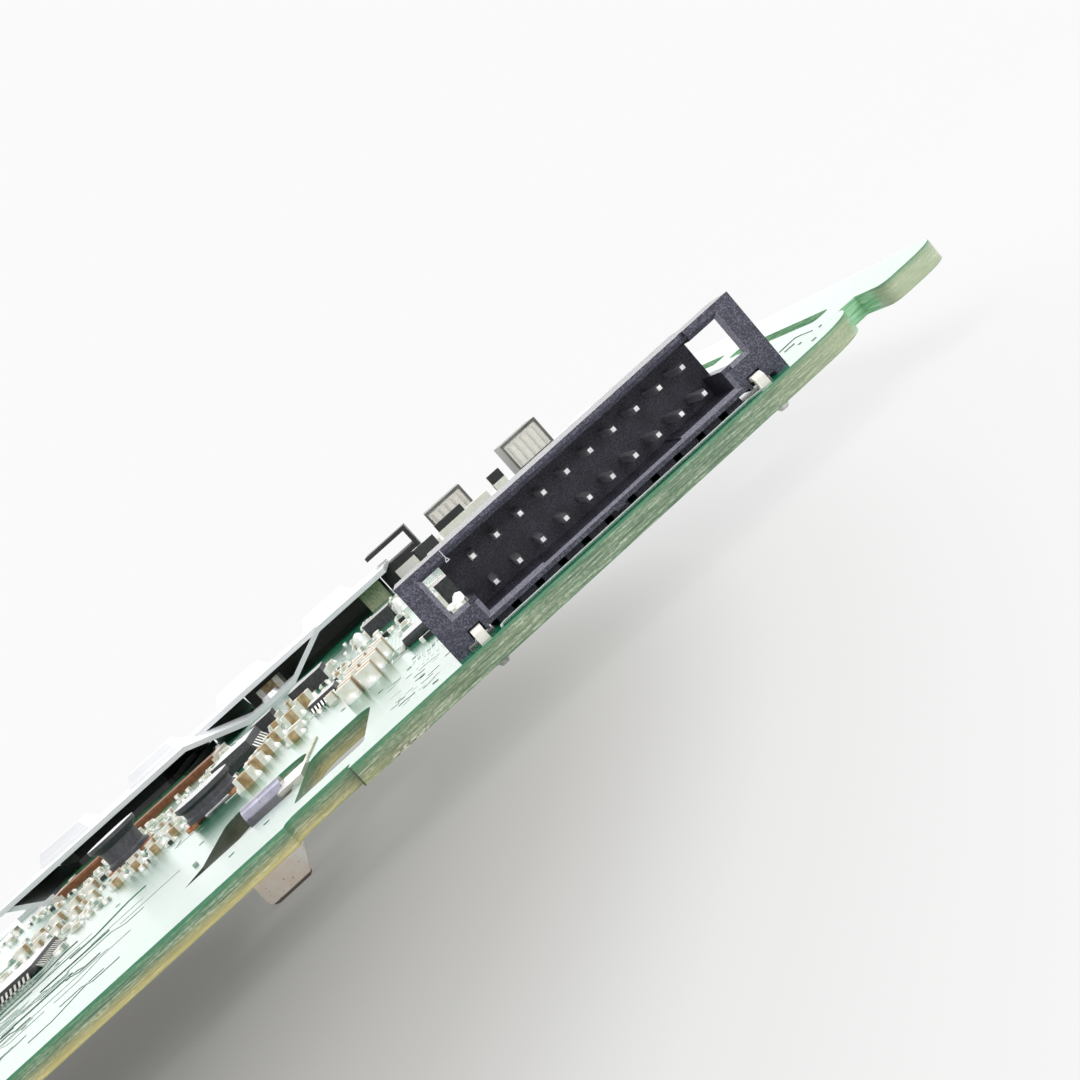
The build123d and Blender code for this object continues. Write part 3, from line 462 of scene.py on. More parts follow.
dice = Random(7)
track_w, track_h = 0.17, 0.016
bm = bmesh.new()
for start, legs, count, pitch in (
        ((-118, 22), [(0, 12), (-45, 6), (0, 28), (45, 4), (0, 12)], 9, 0.42),
        ((-100, 8.5), [(0, 26), (45, 3.5), (0, 12)], 4, 0.9),
        ((-13, 14), [(90, 16), (135, 6), (90, 14)], 10, 0.5),
        ((4, 13), [(90, 24), (45, 5), (90, 12)], 8, 0.5),
        ((-15, 58), [(90, 18), (135, 7), (90, 14)], 8, 0.46),
        ((-44, 76), [(90, 10), (135, 5), (90, 6)], 12, 0.4),
        ((-100, 60), [(0, 14), (45, 6), (0, 8)], 8, 0.46),
        ((-112, 96), [(90, 16), (45, 6), (90, 10)], 10, 0.46),
        ((-118, 40), [(90, 20), (45, 8), (90, 10)], 7, 0.5),
        ((6, 62), [(90, 22), (135, 6), (90, 12)], 8, 0.5),
        ((-34, 74), [(90, 14), (45, 5), (90, 7)], 6, 0.44),
        ((-60, 76), [(90, 11), (135, 3), (90, 3)], 10, 0.44)):
    add_bundle(bm, start, legs, count, pitch, track_w, track_h)


def two_tone(tree, shader, first, second, size, detail=3, span=(0.3, 0.7), fine=0.55,
             stretch=(1, 1, 1), bump=None):
    """Surface that drifts between two colours, and rises with them where a bump is given."""
    drift = noise(tree, object_coords(tree, stretch), size, detail, fine)
    tree.links.new(mix_colours(tree, map_range(tree, drift, *span, 0, 1), first, second),
                   shader.inputs["Base Color"])
    if bump:
        add_bump(tree, shader, drift, *bump)
    return drift


track_lacquer, tree, shader = lacquered("lacquer_over_copper", rgb(26, 128, 92), 0.22, 0.16)
two_tone(tree, shader, rgb(20, 118, 84), rgb(48, 146, 108), 500)
link("copper_tracks", bm, track_lacquer)

# Single tracks wander over the open left of the board and past the header, one by one.
# They are copper too, under darker lacquer, and some stand higher than others.
single_track_w = 0.13
cut_out_left, edge_margin = -38.5, 3
parts_left, parts_near = -62, 27
bm = bmesh.new()
for _ in range(190):
    if dice.random() < 0.75:
        x, y, reach = dice.uniform(-100, -46), dice.uniform(4, 31), dice.uniform(2, 9)
        if x + 2 * reach > cut_out_left or y > parts_near and x > parts_left:
            continue
    else:
        x, y, reach = dice.uniform(-21, -13), dice.uniform(3, 20), dice.uniform(0.3, 0.9)
    heading = dice.choice((-45, -45, 0, 45, 45))
    if y + reach * sin(radians(heading)) < edge_margin:
        continue
    legs = [(0, reach * dice.uniform(0.3, 0.8)), (heading, reach * 0.5),
            (0, reach * dice.uniform(0.2, 0.6))]
    height = dice.choice((0.02, 0.03, 0.045, 0.065))
    beside_header = x > cut_out_left
    add_bundle(bm, (x, y), legs, 1, 0, single_track_w, height * 0.4 if beside_header else height)
# short runs right of the header and in front of the cut-out
short_run_h = 0.04
for path, width in (([(16.63, 8.78), (18.2, 8.85), (18.32, 7.71), (18.26, 5.66)], 0.1),
                    ([(16.33, 7.07), (17.19, 6.91)], 0.3), ([(16.68, 5.08), (16.94, 5.04)], 0.3),
                    ([(16.43, 2.01), (16.77, 2.02)], 0.16), ([(18.4, 4.73), (18.64, 4.65)], 0.2),
                    ([(-34.17, 6.82), (-33.79, 6.85)], 0.3), ([(-31.19, 7.01), (-30.74, 7.04)], 0.3),
                    ([(-16.28, 2.55), (-15.89, 2.39)], 0.2)):
    add_ribbon(bm, path, width, 0.0, short_run_h)
dark_lacquer, tree, shader = lacquered("lacquer_over_single_tracks", rgb(16, 76, 54), 0.24, 0.2)
two_tone(tree, shader, rgb(12, 66, 48), rgb(20, 108, 78), 90, 2, span=(0.4, 0.6))
link("single_tracks", bm, dark_lacquer)

# Vias are drilled and plated holes that join the copper layers. Each shows as a small ring
# of tin and lacquer round a dimple.
via_radius, ring_width, ring_height, dimple = 0.3, 0.14, 0.035, 0.02
bm = bmesh.new()
for _ in range(260):
    x, y = dice.uniform(-119, 14), dice.uniform(edge_margin, 104)
    in_cut_out = -37.9 < x < -22 and y < 24.5
    under_header = -14.5 < x < 14.5 and y < 12.5
    if in_cut_out or under_header:
        continue
    ring = bmesh.ops.create_circle(bm, cap_ends=True, segments=10, radius=via_radius * MM,
                                   matrix=Matrix.Translation(on_board(x, y, ring_height)))
    face = ring["verts"][0].link_faces[0]
    bmesh.ops.inset_individual(bm, faces=[face], thickness=ring_width * MM, depth=-dimple * MM)
via_ring, tree, shader = new_material("via_rings", rgb(120, 160, 130), 0.35, 0.4)
two_tone(tree, shader, rgb(70, 140, 105), rgb(190, 200, 176), 3000, 2, span=(0, 1))
link("via_rings", bm, via_ring)

# Printed outlines show where the parts go: thin white ink round them and along the header,
# screen-printed over the lacquer.
ink = (0.15, 0.012, 0.06)                # width of the line, and its heights from and to
bm = bmesh.new()
add_ribbon(bm, [(-10.62, 0.7), (-10.55, 1.45), (-10.25, 1.74), (10.6, 1.74), (11.75, 0.75)], *ink)
for x, y, w, l in ((-67.2, 40.3, 10.4, 10.4), (-61.2, 64.1, 8.6, 8.4), (-42.9, 40.3, 8.2, 7.8),
                   (-42.6, 57.4, 9.0, 9.4), (-16.9, 31.6, 6.6, 6.4), (-29.2, 44.6, 5.0, 6.0),
                   (-69, 94.5, 33, 8.4), (-76.5, 119.5, 28, 27), (-33.6, 68.4, 8, 7), (0, 11.5, 26, 4),
                   (-2, 58, 7, 6), (9, 44, 6, 5), (-22.4, 70.4, 7, 6)):
    corner = min(w, l) * 0.28
    for sx in (-1, 1):
        for sy in (-1, 1):
            add_ribbon(bm, [(x + sx * (w / 2 - corner), y + sy * l / 2), (x + sx * w / 2, y + sy * l / 2),
                            (x + sx * w / 2, y + sy * (l / 2 - corner))], *ink)
white_ink, tree, shader = new_material("white_ink", rgb(235, 240, 236), 0.6)
two_tone(tree, shader, rgb(232, 238, 234), rgb(252, 253, 252), 4000, 2)
link("printed_outlines", bm, white_ink)

# Mounting pads are copper rings round the screw holes, levelled with tin. The header's pins
# and tabs are soldered on the underside.
pad_tin, tree, shader = new_material("levelled_tin", rgb(196, 194, 186), 0.34, 0.9)
two_tone(tree, shader, rgb(178, 174, 160), rgb(218, 216, 208), 900, span=(0.35, 0.65), bump=(0.3, 0.03))
paint(pad_tin, "mounting_pads")
solder, tree, shader = new_material("solder", rgb(188, 188, 184), 0.28, 0.9)
two_tone(tree, shader, rgb(150, 150, 146), rgb(214, 214, 210), 2200,
         span=(0.35, 0.65), bump=(0.35, 0.04))
paint(solder, "solder_joints")


# ---- The power header ------------------------------------------------------------------------
# The shroud is glass-filled nylon, moulded black in one piece with a fine spark-eroded
# texture. The lead-in chamfers are painted paler, a painted highlight. Square tinned pins are pressed in.
shroud, tree, shader = new_material("shroud_nylon", rgb(52, 50, 58), 0.5)
shader.inputs["Specular IOR Level"].default_value = 0.45
coords = object_coords(tree)
fine = noise(tree, coords, 9500, 2, 0.6)
broad = noise(tree, coords, 700, 4, 0.6)
grey = colour_ramp(tree, mix_colours(tree, 0.2, fine, broad), [
    (0.34, rgb(42, 41, 52)), (0.46, rgb(57, 56, 69)), (0.54, rgb(76, 75, 90)),
    (0.66, rgb(112, 111, 129))])
facing = split(tree, "ShaderNodeNewGeometry", "Normal")
across, inward, up = (math_node(tree, "ABSOLUTE", facing[axis]) for axis in "XYZ")
square = math_node(tree, "MAXIMUM", across, math_node(tree, "MAXIMUM", inward, up))
# painted highlight: slanted faces that don't face down are painted a paler grey
chamfer_highlight = map_range(tree, square, 0.75, 0.93, 1, 0)
upward = map_range(tree, facing["Z"], -0.35, -0.15, 0, 1)
chamfer_highlight = math_node(tree, "MULTIPLY", chamfer_highlight, upward)
top_face = map_range(tree, facing["Z"], 0.9, 0.99, 0, 1)
highlight_grey = blend(tree, fine, 0.35, 0.65, rgb(104, 102, 116), rgb(150, 149, 162))
# deeper into the cavity the nylon is painted darker, as painted shade in the recess
place = split(tree, "ShaderNodeTexCoord", "Object")
deep = map_range(tree, place["Y"], header_low[1] + 0.4 * MM, header_low[1] + 1.6 * MM, 0, 0.85)
grey = mix_colours(tree, math_node(tree, "MULTIPLY", chamfer_highlight, 0.85), grey, highlight_grey)
inside = blend(tree, fine, 0.38, 0.62, rgb(28, 27, 36), rgb(92, 89, 104))
inside = blend(tree, broad, 0.4, 0.65, inside, rgb(20, 19, 25), 0.6)
tree.links.new(mix_colours(tree, deep, grey, inside), shader.inputs["Base Color"])
rough = map_range(tree, fine, 0.3, 0.7, 0.42, 0.62)
tree.links.new(math_node(tree, "SUBTRACT", rough, math_node(tree, "MULTIPLY", top_face, 0.24)),
               shader.inputs["Roughness"])
add_bump(tree, shader, fine, 0.55, 0.04)
paint(shroud, "header_housing")

# Moulding flash: a hair of nylon that was squeezed out along the left arm, where the mould
# halves met, and ends in a small loop.
hair_y, hair_r, hair_thin_r, overlap = 1.62, 0.038, 0.034, 1.15
thread = [(-10.38, 6.0), (-10.36, 5.6), (-10.36, 5.48), (-10.52, 5.2), (-10.26, 5.2), (-10.36, 5.46)]
bm = bmesh.new()
for (x0, z0), (x1, z1) in zip(thread, thread[1:]):
    start, end = on_board(x0, hair_y, z0), on_board(x1, hair_y, z1)
    way = end - start
    made = bmesh.ops.create_cone(bm, cap_ends=True, segments=6, radius1=hair_r * MM,
                                 radius2=hair_thin_r * MM, depth=way.length * overlap)
    bmesh.ops.rotate(bm, verts=made["verts"], cent=(0, 0, 0),
                     matrix=way.to_track_quat("Z", "Y").to_matrix())
    bmesh.ops.translate(bm, verts=made["verts"], vec=(start + end) / 2)
flash_skin, tree, shader = new_material("nylon_flash", rgb(196, 196, 202), 0.45)
two_tone(tree, shader, rgb(168, 168, 176), rgb(224, 224, 230), 3000, 2, span=(0, 1))
link("moulding_flash", bm, flash_skin)

# Pins and tabs: square wire pressed into the shroud and stamped strip that holds it down,
# both plated with tin. The drawn wire is streaked along its length.
pin_tin, tree, shader = new_material("pin_tin", rgb(226, 222, 214), 0.3, 0.85)
two_tone(tree, shader, rgb(200, 198, 200), rgb(246, 245, 246), 1,
         stretch=(2600, 300, 2600), bump=(0.2, 0.02))
paint(pin_tin, "header_lower_pins", "header_upper_pins")
tab_tin, tree, shader = new_material("tab_tin", rgb(248, 242, 234), 0.5, 0.05)
two_tone(tree, shader, rgb(242, 232, 222), rgb(255, 252, 247), 1600, bump=(0.25, 0.03))
paint(tab_tin, "header_tabs")


# ---- The ground clip -------------------------------------------------------------------------
# Tinned bronze strip, rolled over at the top and pressed through a cut-out in the board,
# with a foot below that bears on the chassis and is speckled where the tin has worn.
clip_tin, tree, shader = new_material("clip_tin", rgb(150, 146, 160), 0.3, 0.75)
coords = object_coords(tree)
specks = map_range(tree, noise(tree, coords, 4600, 2, 0.4), 0.69, 0.74, 0, 0.8)
wear = map_range(tree, noise(tree, coords, 700, 4), 0.35, 0.65, 0, 1)
place = split(tree, "ShaderNodeTexCoord", "Object")
# below the board's top the clip is painted pale cream: its tin colour, lightened as painted light where
# the board shades the foot
below = map_range(tree, place["Z"], -0.2 * MM, 0.0, 1, 0)
above_tone = mix_colours(tree, wear, rgb(148, 147, 166), rgb(184, 183, 198))
lightened_below_tone = mix_colours(tree, wear, rgb(252, 232, 216), rgb(255, 250, 244))
tone = mix_colours(tree, below, above_tone, lightened_below_tone)
# the ear at the right stays bright, where solder has run over it
tone = blend(tree, place["X"], at_x(-30.5), at_x(-30.2), tone, rgb(240, 232, 222), 0.9)
# a dark brown band is painted along the foot's lowest edge: painted shade on its rounded lower edge
foot_z = cad_low[2]
tone = blend(tree, place["Z"], foot_z + 0.28 * MM, foot_z + 0.2 * MM, tone, rgb(66, 44, 36), 0.9)
tree.links.new(mix_colours(tree, specks, tone, rgb(104, 74, 58)), shader.inputs["Base Color"])
tree.links.new(map_range(tree, below, 0, 1, 0.8, 0.0), shader.inputs["Metallic"])
tree.links.new(map_range(tree, below, 0, 1, 0.26, 0.5), shader.inputs["Roughness"])
add_bump(tree, shader, wear, 0.15, 0.03)
paint(clip_tin, "ground_clip")

# Tinned strip: bare copper along the right edge of the cut-out, free of lacquer and wetted
# with solder.
strip_w, strip_h = 0.34, 0.13
bm = bmesh.new()
add_ribbon(bm, [(-28.95, 12.3), (-28.85, 17.5), (-28.72, 21.5), (-28.6, 25.2)], strip_w, 0.0, strip_h)
strip_tin, tree, shader = new_material("strip_tin", rgb(222, 208, 182), 0.45, 0.1)
two_tone(tree, shader, rgb(188, 172, 142), rgb(246, 238, 222), 1500, span=(0.35, 0.65), bump=(0.3, 0.03))
link("tinned_strip", bm, strip_tin)


# ---- The heat spreader -----------------------------------------------------------------------
# Pressed aluminium sheet with a satin rolled finish, folded down to feet that are riveted to
# the board. Soft pads carry the heat to it.
sheet, tree, shader = new_material("satin_aluminium", rgb(222, 223, 224), 0.34, 0.75)
rolled = noise(tree, object_coords(tree, (60, 2600, 2600)), 1, 4, 0.6)
smudge = noise(tree, object_coords(tree), 120, 4)
tone = blend(tree, rolled, 0.3, 0.7, rgb(226, 228, 231), rgb(242, 243, 245))
tone = blend(tree, smudge, 0.5, 0.75, tone, rgb(210, 211, 216), 0.5)
# painted shade: the hollow under the deck, its back wall and ceiling, is painted a dark grey-green and
# not metallic
facing = split(tree, "ShaderNodeNewGeometry", "Normal")
place = split(tree, "ShaderNodeTexCoord", "Object")
deck_far = 133                           # the deck's far edge, in from the board's near edge
shaded_back_wall = math_node(tree, "MULTIPLY",
                      map_range(tree, facing["Y"], -0.9, -0.95, 0, 1),
                      map_range(tree, place["Y"], at_y(deck_far - 1.2), at_y(deck_far - 0.9), 0, 1))
shaded_ceiling = math_node(tree, "MULTIPLY",
                    map_range(tree, facing["Z"], -0.5, -0.6, 0, 1),
                    map_range(tree, place["Z"], top_z + 0.5 * MM, top_z + 1.0 * MM, 0, 1))
under_deck_shade = math_node(tree, "MAXIMUM", shaded_back_wall, shaded_ceiling)
tree.links.new(mix_colours(tree, under_deck_shade, tone, rgb(112, 118, 104)), shader.inputs["Base Color"])
tree.links.new(map_range(tree, under_deck_shade, 0, 1, 0.6, 0.0), shader.inputs["Metallic"])
tree.links.new(map_range(tree, smudge, 0.3, 0.7, 0.26, 0.42), shader.inputs["Roughness"])
add_bump(tree, shader, rolled, 0.2, 0.02)
paint(sheet, "heat_spreader")
rivet, tree, shader = new_material("rivet_aluminium", rgb(190, 190, 190), 0.3, 0.9)
two_tone(tree, shader, rgb(150, 150, 152), rgb(214, 214, 214), 1800, bump=(0.25, 0.03))
paint(rivet, "spreader_rivets")
gap_pad, tree, shader = new_material("thermal_pad", rgb(160, 178, 142), 0.85)
filler = noise(tree, object_coords(tree), 2600, 3)
green_pad = blend(tree, filler, 0.3, 0.7, rgb(150, 164, 128), rgb(206, 212, 178))
dark_pad = blend(tree, filler, 0.3, 0.7, rgb(30, 32, 32), rgb(54, 56, 56))
place = split(tree, "ShaderNodeTexCoord", "Object")
graphite = map_range(tree, place["X"], at_x(-50), at_x(-48), 1, 0)
tree.links.new(mix_colours(tree, graphite, green_pad, dark_pad), shader.inputs["Base Color"])
add_bump(tree, shader, filler, 0.5, 0.05)
paint(gap_pad, "thermal_pads")


# ---- The processor and the leaded packages ---------------------------------------------------
# Black epoxy moulded round a tinned lead frame. The processor sits on a green substrate
# under a cap, which is coloured dark grey with streaks along it. The tops are smooth enough to mirror the
# light.
base, tree, shader = new_material("chip_substrate", rgb(24, 84, 52), 0.4)
two_tone(tree, shader, rgb(16, 70, 42), rgb(44, 108, 70), 1500)
paint(base, "processor_substrate")
cap, tree, shader = new_material("processor_cap_black", rgb(40, 40, 42), 0.4)
two_tone(tree, shader, rgb(30, 30, 32), rgb(62, 62, 64), 1, stretch=(200, 5000, 200))
paint(cap, "processor_cap")


def smooth_tops(tree, shader, value, rough_low, rough_high, top_rough):
    """Roughness that follows a noise value on the sides, and a smoother flat top."""
    sides = map_range(tree, value, 0.3, 0.7, rough_low, rough_high)
    upward = split(tree, "ShaderNodeNewGeometry", "Normal")["Z"]
    tree.links.new(blend(tree, upward, 0.9, 0.99, sides, (top_rough, top_rough, top_rough)),
                   shader.inputs["Roughness"])


epoxy, tree, shader = new_material("black_epoxy", rgb(46, 46, 49), 0.55)
shader.inputs["Specular IOR Level"].default_value = 0.7
grit = two_tone(tree, shader, rgb(32, 32, 34), rgb(66, 66, 69), 4200, fine=0.6, bump=(0.2, 0.01))
smooth_tops(tree, shader, grit, 0.3, 0.45, 0.16)
paint(epoxy, "controller_chip", "interface_chip", "supply_chip", "flash_chip")
lead_tin, tree, shader = new_material("lead_tin", rgb(216, 214, 206), 0.3, 0.8)
two_tone(tree, shader, rgb(190, 188, 180), rgb(236, 236, 230), 3000, 2)
paint(lead_tin, "controller_leads", "interface_leads", "supply_leads", "flash_leads", "cable_contacts")


# ---- Inductors -------------------------------------------------------------------------------
# Drum cores of pressed ferrite with copper ends, and blocks moulded from iron powder with
# tinned ends. They are soldered by those ends.
ferrite, tree, shader = new_material("pressed_ferrite", rgb(62, 60, 66), 0.5)
shader.inputs["Specular IOR Level"].default_value = 0.7
pressed = two_tone(tree, shader, rgb(44, 43, 47), rgb(88, 86, 94), 2400, 4, fine=0.65, bump=(0.35, 0.03))
smooth_tops(tree, shader, pressed, 0.4, 0.6, 0.18)
paint(ferrite, "drum_inductors")
powder, tree, shader = new_material("iron_powder_block", rgb(52, 52, 54), 0.55)
pressed = two_tone(tree, shader, rgb(34, 34, 36), rgb(72, 71, 74), 3000, 4, fine=0.65, bump=(0.4, 0.03))
smooth_tops(tree, shader, pressed, 0.4, 0.6, 0.22)
paint(powder, "moulded_inductors")
copper_end, tree, shader = new_material("copper_end", rgb(206, 120, 74), 0.4, 0.6)
two_tone(tree, shader, rgb(186, 96, 56), rgb(232, 168, 124), 1400, span=(0.35, 0.65))
paint(copper_end, "drum_terminals")
cream_end, tree, shader = new_material("cream_terminal", rgb(240, 236, 224), 0.42, 0.1)
two_tone(tree, shader, rgb(230, 224, 208), rgb(252, 250, 242), 1500, span=(0.35, 0.65), bump=(0.3, 0.03))
paint(cream_end, "moulded_terminals")


# ---- Chip capacitors and resistors -----------------------------------------------------------
# Ceramic blocks with tinned ends, by which they are soldered: brown capacitors, and
# resistors with a black glaze.
ceramic, tree, shader = new_material("brown_ceramic", rgb(150, 118, 78), 0.5)
two_tone(tree, shader, rgb(158, 126, 84), rgb(214, 186, 146), 1300, span=(0.35, 0.65), bump=(0.2, 0.02))
paint(ceramic, "capacitor_bodies")
chip_end, tree, shader = new_material("chip_end_tin", rgb(246, 242, 232), 0.4, 0.05)
two_tone(tree, shader, rgb(242, 236, 222), rgb(255, 252, 246), 1500, span=(0.35, 0.65), bump=(0.3, 0.03))
paint(chip_end, "capacitor_ends", "resistor_ends")
glaze, tree, shader = new_material("resistor_glaze", rgb(34, 34, 36), 0.35)
two_tone(tree, shader, rgb(24, 24, 26), rgb(52, 52, 54), 2200, span=(0.35, 0.65))
paint(glaze, "resistor_bodies")

# Solder fillets: a bead of bright solder at each end of the larger chips, two in front of
# an inductor, and a cluster behind the left end of the header.
def row_of(x, y, dx, dy, count, length, width, height, turned):
    """Places, direction and size of the chips in a row."""
    return [(x + i * dx, y + i * dy, length, width, height, turned) for i in range(count)]


large_chips = (row_of(-37.4, 34.0, 0.45, 4.3, 4, 2.0, 1.25, 1.25, False)
               + row_of(-34.0, 50.2, 0.9, 6.2, 2, 2.0, 1.25, 1.45, False)
               + row_of(-24.4, 28.6, 0.5, 4.9, 3, 3.2, 1.6, 1.6, True)
               + row_of(-22.2, 28.2, 0.5, 4.9, 3, 3.2, 1.6, 1.6, True)
               + row_of(-32.1, 35.8, 0, 0, 1, 1.6, 0.85, 0.9, False)
               + row_of(-59.4, 53.2, 2.3, 0.25, 5, 1.6, 0.85, 0.85, True)
               + row_of(-57.6, 48.0, 2.6, -0.3, 4, 1.6, 0.85, 0.8, False)
               + row_of(-70.6, 53.8, 2.4, 0.3, 4, 1.6, 0.85, 0.85, True)
               + row_of(-76.5, 62.0, 2.4, 0.5, 5, 2.0, 1.25, 1.0, True)
               + row_of(-7.0, 30.0, 3.4, 0.4, 5, 1.6, 0.85, 0.8, False))


def along_chip(x, y, shift, turned):
    """Place shifted along a chip, which runs across the board, or in from its edge when turned."""
    return (x, y + shift) if turned else (x + shift, y)


def add_bead(bm, x, y, along, across, height, turned, rounds=1):
    """Rounded bead of solder on a pad, half of it below the board's top."""
    size = (across, along) if turned else (along, across)
    made = bmesh.ops.create_icosphere(bm, subdivisions=rounds, radius=MM / 2)
    bmesh.ops.scale(bm, verts=made["verts"], vec=(*size, 2 * height))
    bmesh.ops.translate(bm, verts=made["verts"], vec=on_board(x, y))


def trim_to_board(bm):
    """Cuts away what is below the board's top, and shades the rest smooth."""
    bmesh.ops.bisect_plane(bm, geom=bm.verts[:] + bm.edges[:] + bm.faces[:], clear_inner=True,
                           plane_co=(0, 0, top_z), plane_no=(0, 0, 1))
    for face in bm.faces:
        face.smooth = True


fillet_gap, fillet_l, fillet_highest = 0.12, 0.75, 0.75
bm = bmesh.new()
for x, y, along, height in ((-13.1, 27.6, 1.7, 0.62), (-12.3, 26.9, 2.0, 0.66),
                            (-11.4, 27.6, 1.9, 0.62), (-12.2, 28.3, 1.5, 1.0)):
    add_bead(bm, x, y, along, 1.5, height, False, rounds=2)
for x in (-19.2, -25.6):
    add_bead(bm, x, 68.1, 1.9, 1.6, 1.8, False, rounds=3)
for x, y, length, width, height, turned in large_chips:
    for way in (-1, 1):
        place = along_chip(x, y, way * (length / 2 + fillet_gap), turned)
        add_bead(bm, *place, fillet_l, width * 1.05, min(fillet_highest, height * 0.55), turned)
trim_to_board(bm)
bright, tree, shader = new_material("bright_solder", rgb(250, 250, 247), 0.3, 0.1)
two_tone(tree, shader, rgb(244, 244, 240), rgb(255, 255, 253), 2600, 2,
         span=(0.35, 0.65), bump=(0.2, 0.03))
link("solder_fillets", bm, bright)


# ---- Small chips -----------------------------------------------------------------------------
# A dense field of the smallest chips: a middle block of ceramic or glazed alumina and two
# tinned ends, each with its bead of solder.
small_capacitors, small_resistors = bmesh.new(), bmesh.new()
ends, beads = bmesh.new(), bmesh.new()
small_block_ease = 0.05
small_bead_gap, small_bead_l = 0.08, 0.5
room_sought, room_kept = 0.35, 0.15      # round a new chip, and round one that is placed
# places that are taken, each with the radius to keep clear round it
taken = [(x, y, 1.6 + length / 2) for x, y, length, *_ in large_chips]
taken += [(-67.2, 40.3, 5.6), (-61.2, 64.1, 4.6), (-42.9, 40.3, 4.4), (-42.6, 57.4, 5.4),
          (-16.9, 31.6, 4.0), (-12.1, 35, 2.8), (-29.2, 44.6, 3.0), (-33.6, 68.4, 4.4),
          (-40.2, 66.6, 2.6), (-22.4, 70.4, 3.4), (-2, 58, 3.4), (9, 44, 2.6), (-23.3, 34, 3.4),
          (-49, 73, 1.6)]


def is_clear(x, y, room):
    """Whether a place keeps clear of the parts that are already there."""
    return all((x - a) ** 2 + (y - b) ** 2 > (r + room) ** 2 for a, b, r in taken)


def add_small_block(bm, x, y, along, across, height, turned=False):
    """Small block on the board, with eased upper edges."""
    size = (across, along) if turned else (along, across)
    made = bmesh.ops.create_cube(bm, size=MM)
    bmesh.ops.scale(bm, verts=made["verts"], vec=(*size, height))
    bmesh.ops.translate(bm, verts=made["verts"], vec=on_board(x, y, height / 2))
    faces = [face for corner in made["verts"] for face in corner.link_faces]
    top = max(faces, key=lambda face: face.calc_center_median().z)
    bmesh.ops.bevel(bm, geom=top.edges[:], offset=small_block_ease * MM, offset_type="OFFSET",
                    segments=1, profile=0.5, affect="EDGES", material=-1)


def add_small_chip(bodies, x, y, length, width, height, turned):
    """Chip with its two ends and its beads of solder."""
    middle, end = length * 0.5, length * 0.25
    add_small_block(bodies, x, y, middle, width, height, turned)
    for way in (-1, 1):
        place = along_chip(x, y, way * (length - end) / 2, turned)
        add_small_block(ends, *place, end, width, height, turned)
        place = along_chip(x, y, way * (length / 2 + small_bead_gap), turned)
        add_bead(beads, *place, small_bead_l, width * 1.1, height * 0.8, turned)


for left, right, near, far, tries in (
        (-78, -60, 36, 74, 460), (-62, -45, 42, 74, 460), (-45, -22, 40, 66, 190),
        (-34, -15, 44, 100, 90), (-14, 14, 28, 100, 90), (-118, -80, 40, 110, 90),
        (-75, -50, 74, 90, 60)):
    for _ in range(tries):
        x, y = dice.uniform(left, right), dice.uniform(near, far)
        small = dice.random() < 0.8
        length, width = (1.0, 0.5) if small else (1.6, 0.8)
        height = dice.choice((0.35, 0.5)) if small else dice.choice((0.45, 0.8))
        if not is_clear(x, y, length / 2 + room_sought):
            continue
        taken.append((x, y, length / 2 + room_kept))
        bodies = small_capacitors if height > 0.45 else small_resistors
        add_small_chip(bodies, x, y, length, width, height, dice.random() < 0.5)
# one lone resistor left of the cut-out
add_small_block(small_resistors, -39.3, 15.7, 0.34, 0.34, 0.24)
pale_ceramic, tree, shader = new_material("pale_ceramic", rgb(222, 212, 192), 0.5)
fired = noise(tree, object_coords(tree), 130, 1)
grain = noise(tree, object_coords(tree), 1300, 3)
cream = blend(tree, grain, 0.35, 0.65, rgb(222, 212, 190), rgb(250, 244, 232))
tree.links.new(blend(tree, fired, 0.52, 0.6, cream, rgb(196, 162, 122)), shader.inputs["Base Color"])
link("small_capacitors", small_capacitors, pale_ceramic)
grey_glaze, tree, shader = new_material("grey_glaze", rgb(120, 126, 120), 0.4)
two_tone(tree, shader, rgb(176, 190, 178), rgb(62, 64, 62), 150, 1, span=(0.56, 0.6))
link("small_resistors", small_resistors, grey_glaze)
link("small_chip_ends", ends, chip_end)
trim_to_board(beads)
link("small_solder_beads", beads, bright)


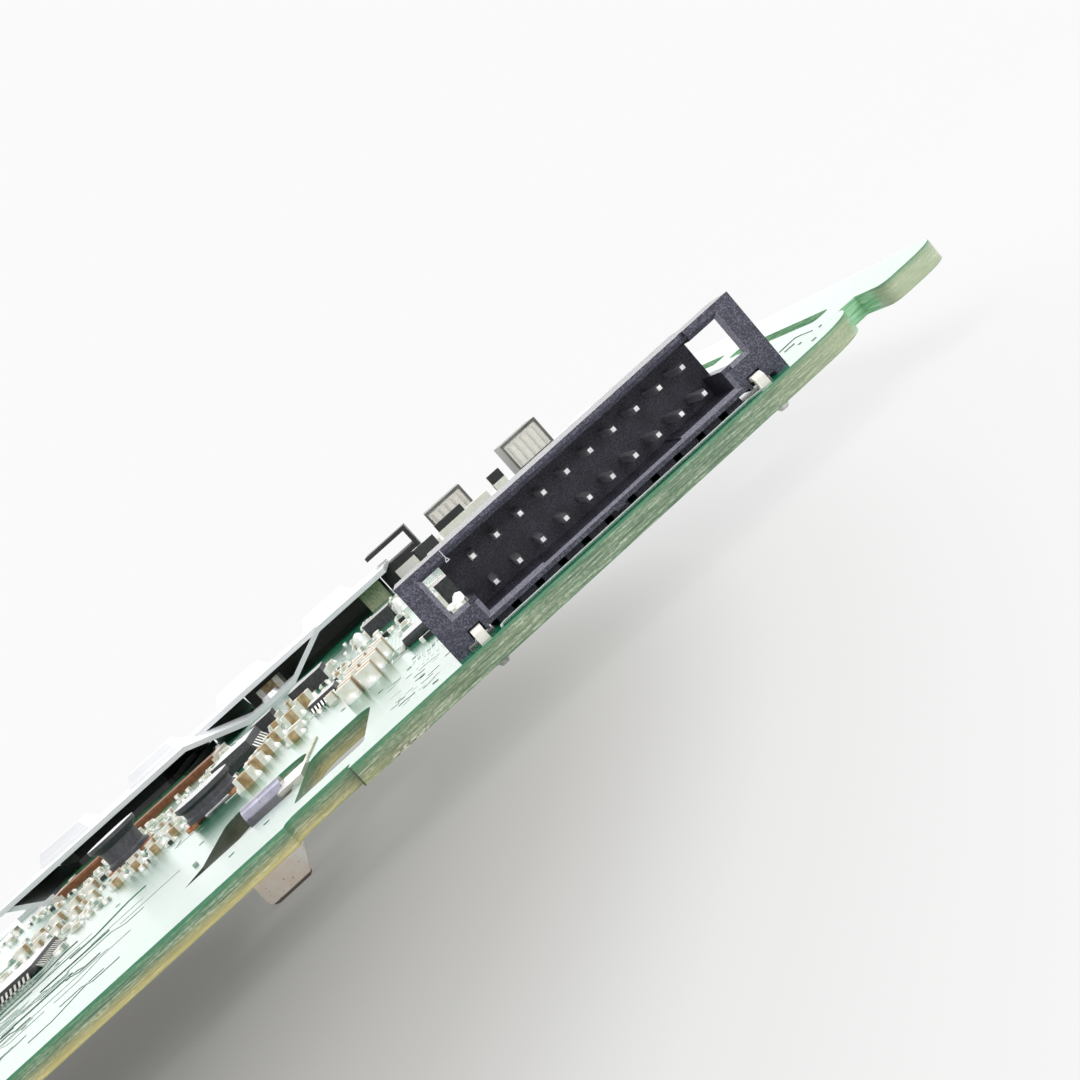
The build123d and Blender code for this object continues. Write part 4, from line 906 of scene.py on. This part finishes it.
# ---- Connectors ------------------------------------------------------------------------------
# A flat cable connector with a hinged flap, two signal sockets, an audio jack and low latch
# connectors along the far side. The bodies are moulded and the socket shells are drawn metal.
ivory, tree, shader = new_material("ivory_nylon", rgb(232, 228, 214), 0.5)
two_tone(tree, shader, rgb(238, 230, 220), rgb(252, 246, 238), 1500)
paint(ivory, "latch_connector_bodies")
# the cable connector is moulded in two shots: ivory ends, a brown middle
two_shot, tree, shader = new_material("two_shot_nylon", rgb(196, 176, 160), 0.5)
satin = noise(tree, object_coords(tree), 1500, 3)
pale = blend(tree, satin, 0.3, 0.7, rgb(206, 190, 178), rgb(232, 220, 210))
dark = blend(tree, satin, 0.3, 0.7, rgb(98, 56, 30), rgb(134, 80, 46))
place = split(tree, "ShaderNodeTexCoord", "Object")
body_low, body_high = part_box("cable_connector_body")
from_middle = math_node(tree, "ABSOLUTE",
                        math_node(tree, "SUBTRACT", place["X"], (body_low[0] + body_high[0]) / 2))
half = (body_high[0] - body_low[0]) / 2
tree.links.new(blend(tree, from_middle, half - 1.7 * MM, half - 1.6 * MM, dark, pale),
               shader.inputs["Base Color"])
paint(two_shot, "cable_connector_body")
brown, tree, shader = new_material("brown_flap", rgb(128, 78, 44), 0.5)
two_tone(tree, shader, rgb(104, 60, 32), rgb(156, 100, 60), 1200)
paint(brown, "cable_connector_flap")
shell, tree, shader = new_material("socket_shell", rgb(120, 118, 114), 0.4, 0.5)
two_tone(tree, shader, rgb(84, 82, 78), rgb(132, 130, 124), 1, stretch=(300, 3000, 300))
paint(shell, "socket_shells")
# the cores are painted paler than their own colour, as painted light inside the shells, and the jack's
# insert is painted near white in place of the bright surround seen through the open jack
core, tree, shader = new_material("pale_core", rgb(250, 240, 234), 0.5)
two_tone(tree, shader, rgb(248, 238, 232), rgb(255, 250, 246), 1500)
paint(core, "socket_cores", "jack_insert")
contact, tree, shader = new_material("contact_metal", rgb(206, 198, 190), 0.35, 0.4)
two_tone(tree, shader, rgb(206, 198, 190), rgb(240, 232, 226), 1500, 2, span=(0, 1))
paint(contact, "socket_contacts")
black, tree, shader = new_material("black_thermoplastic", rgb(34, 34, 34), 0.5)
two_tone(tree, shader, rgb(24, 24, 24), rgb(50, 50, 50), 2500, bump=(0.25, 0.03))
paint(black, "jack_base", "jack_shield", "latch_connector_bars")
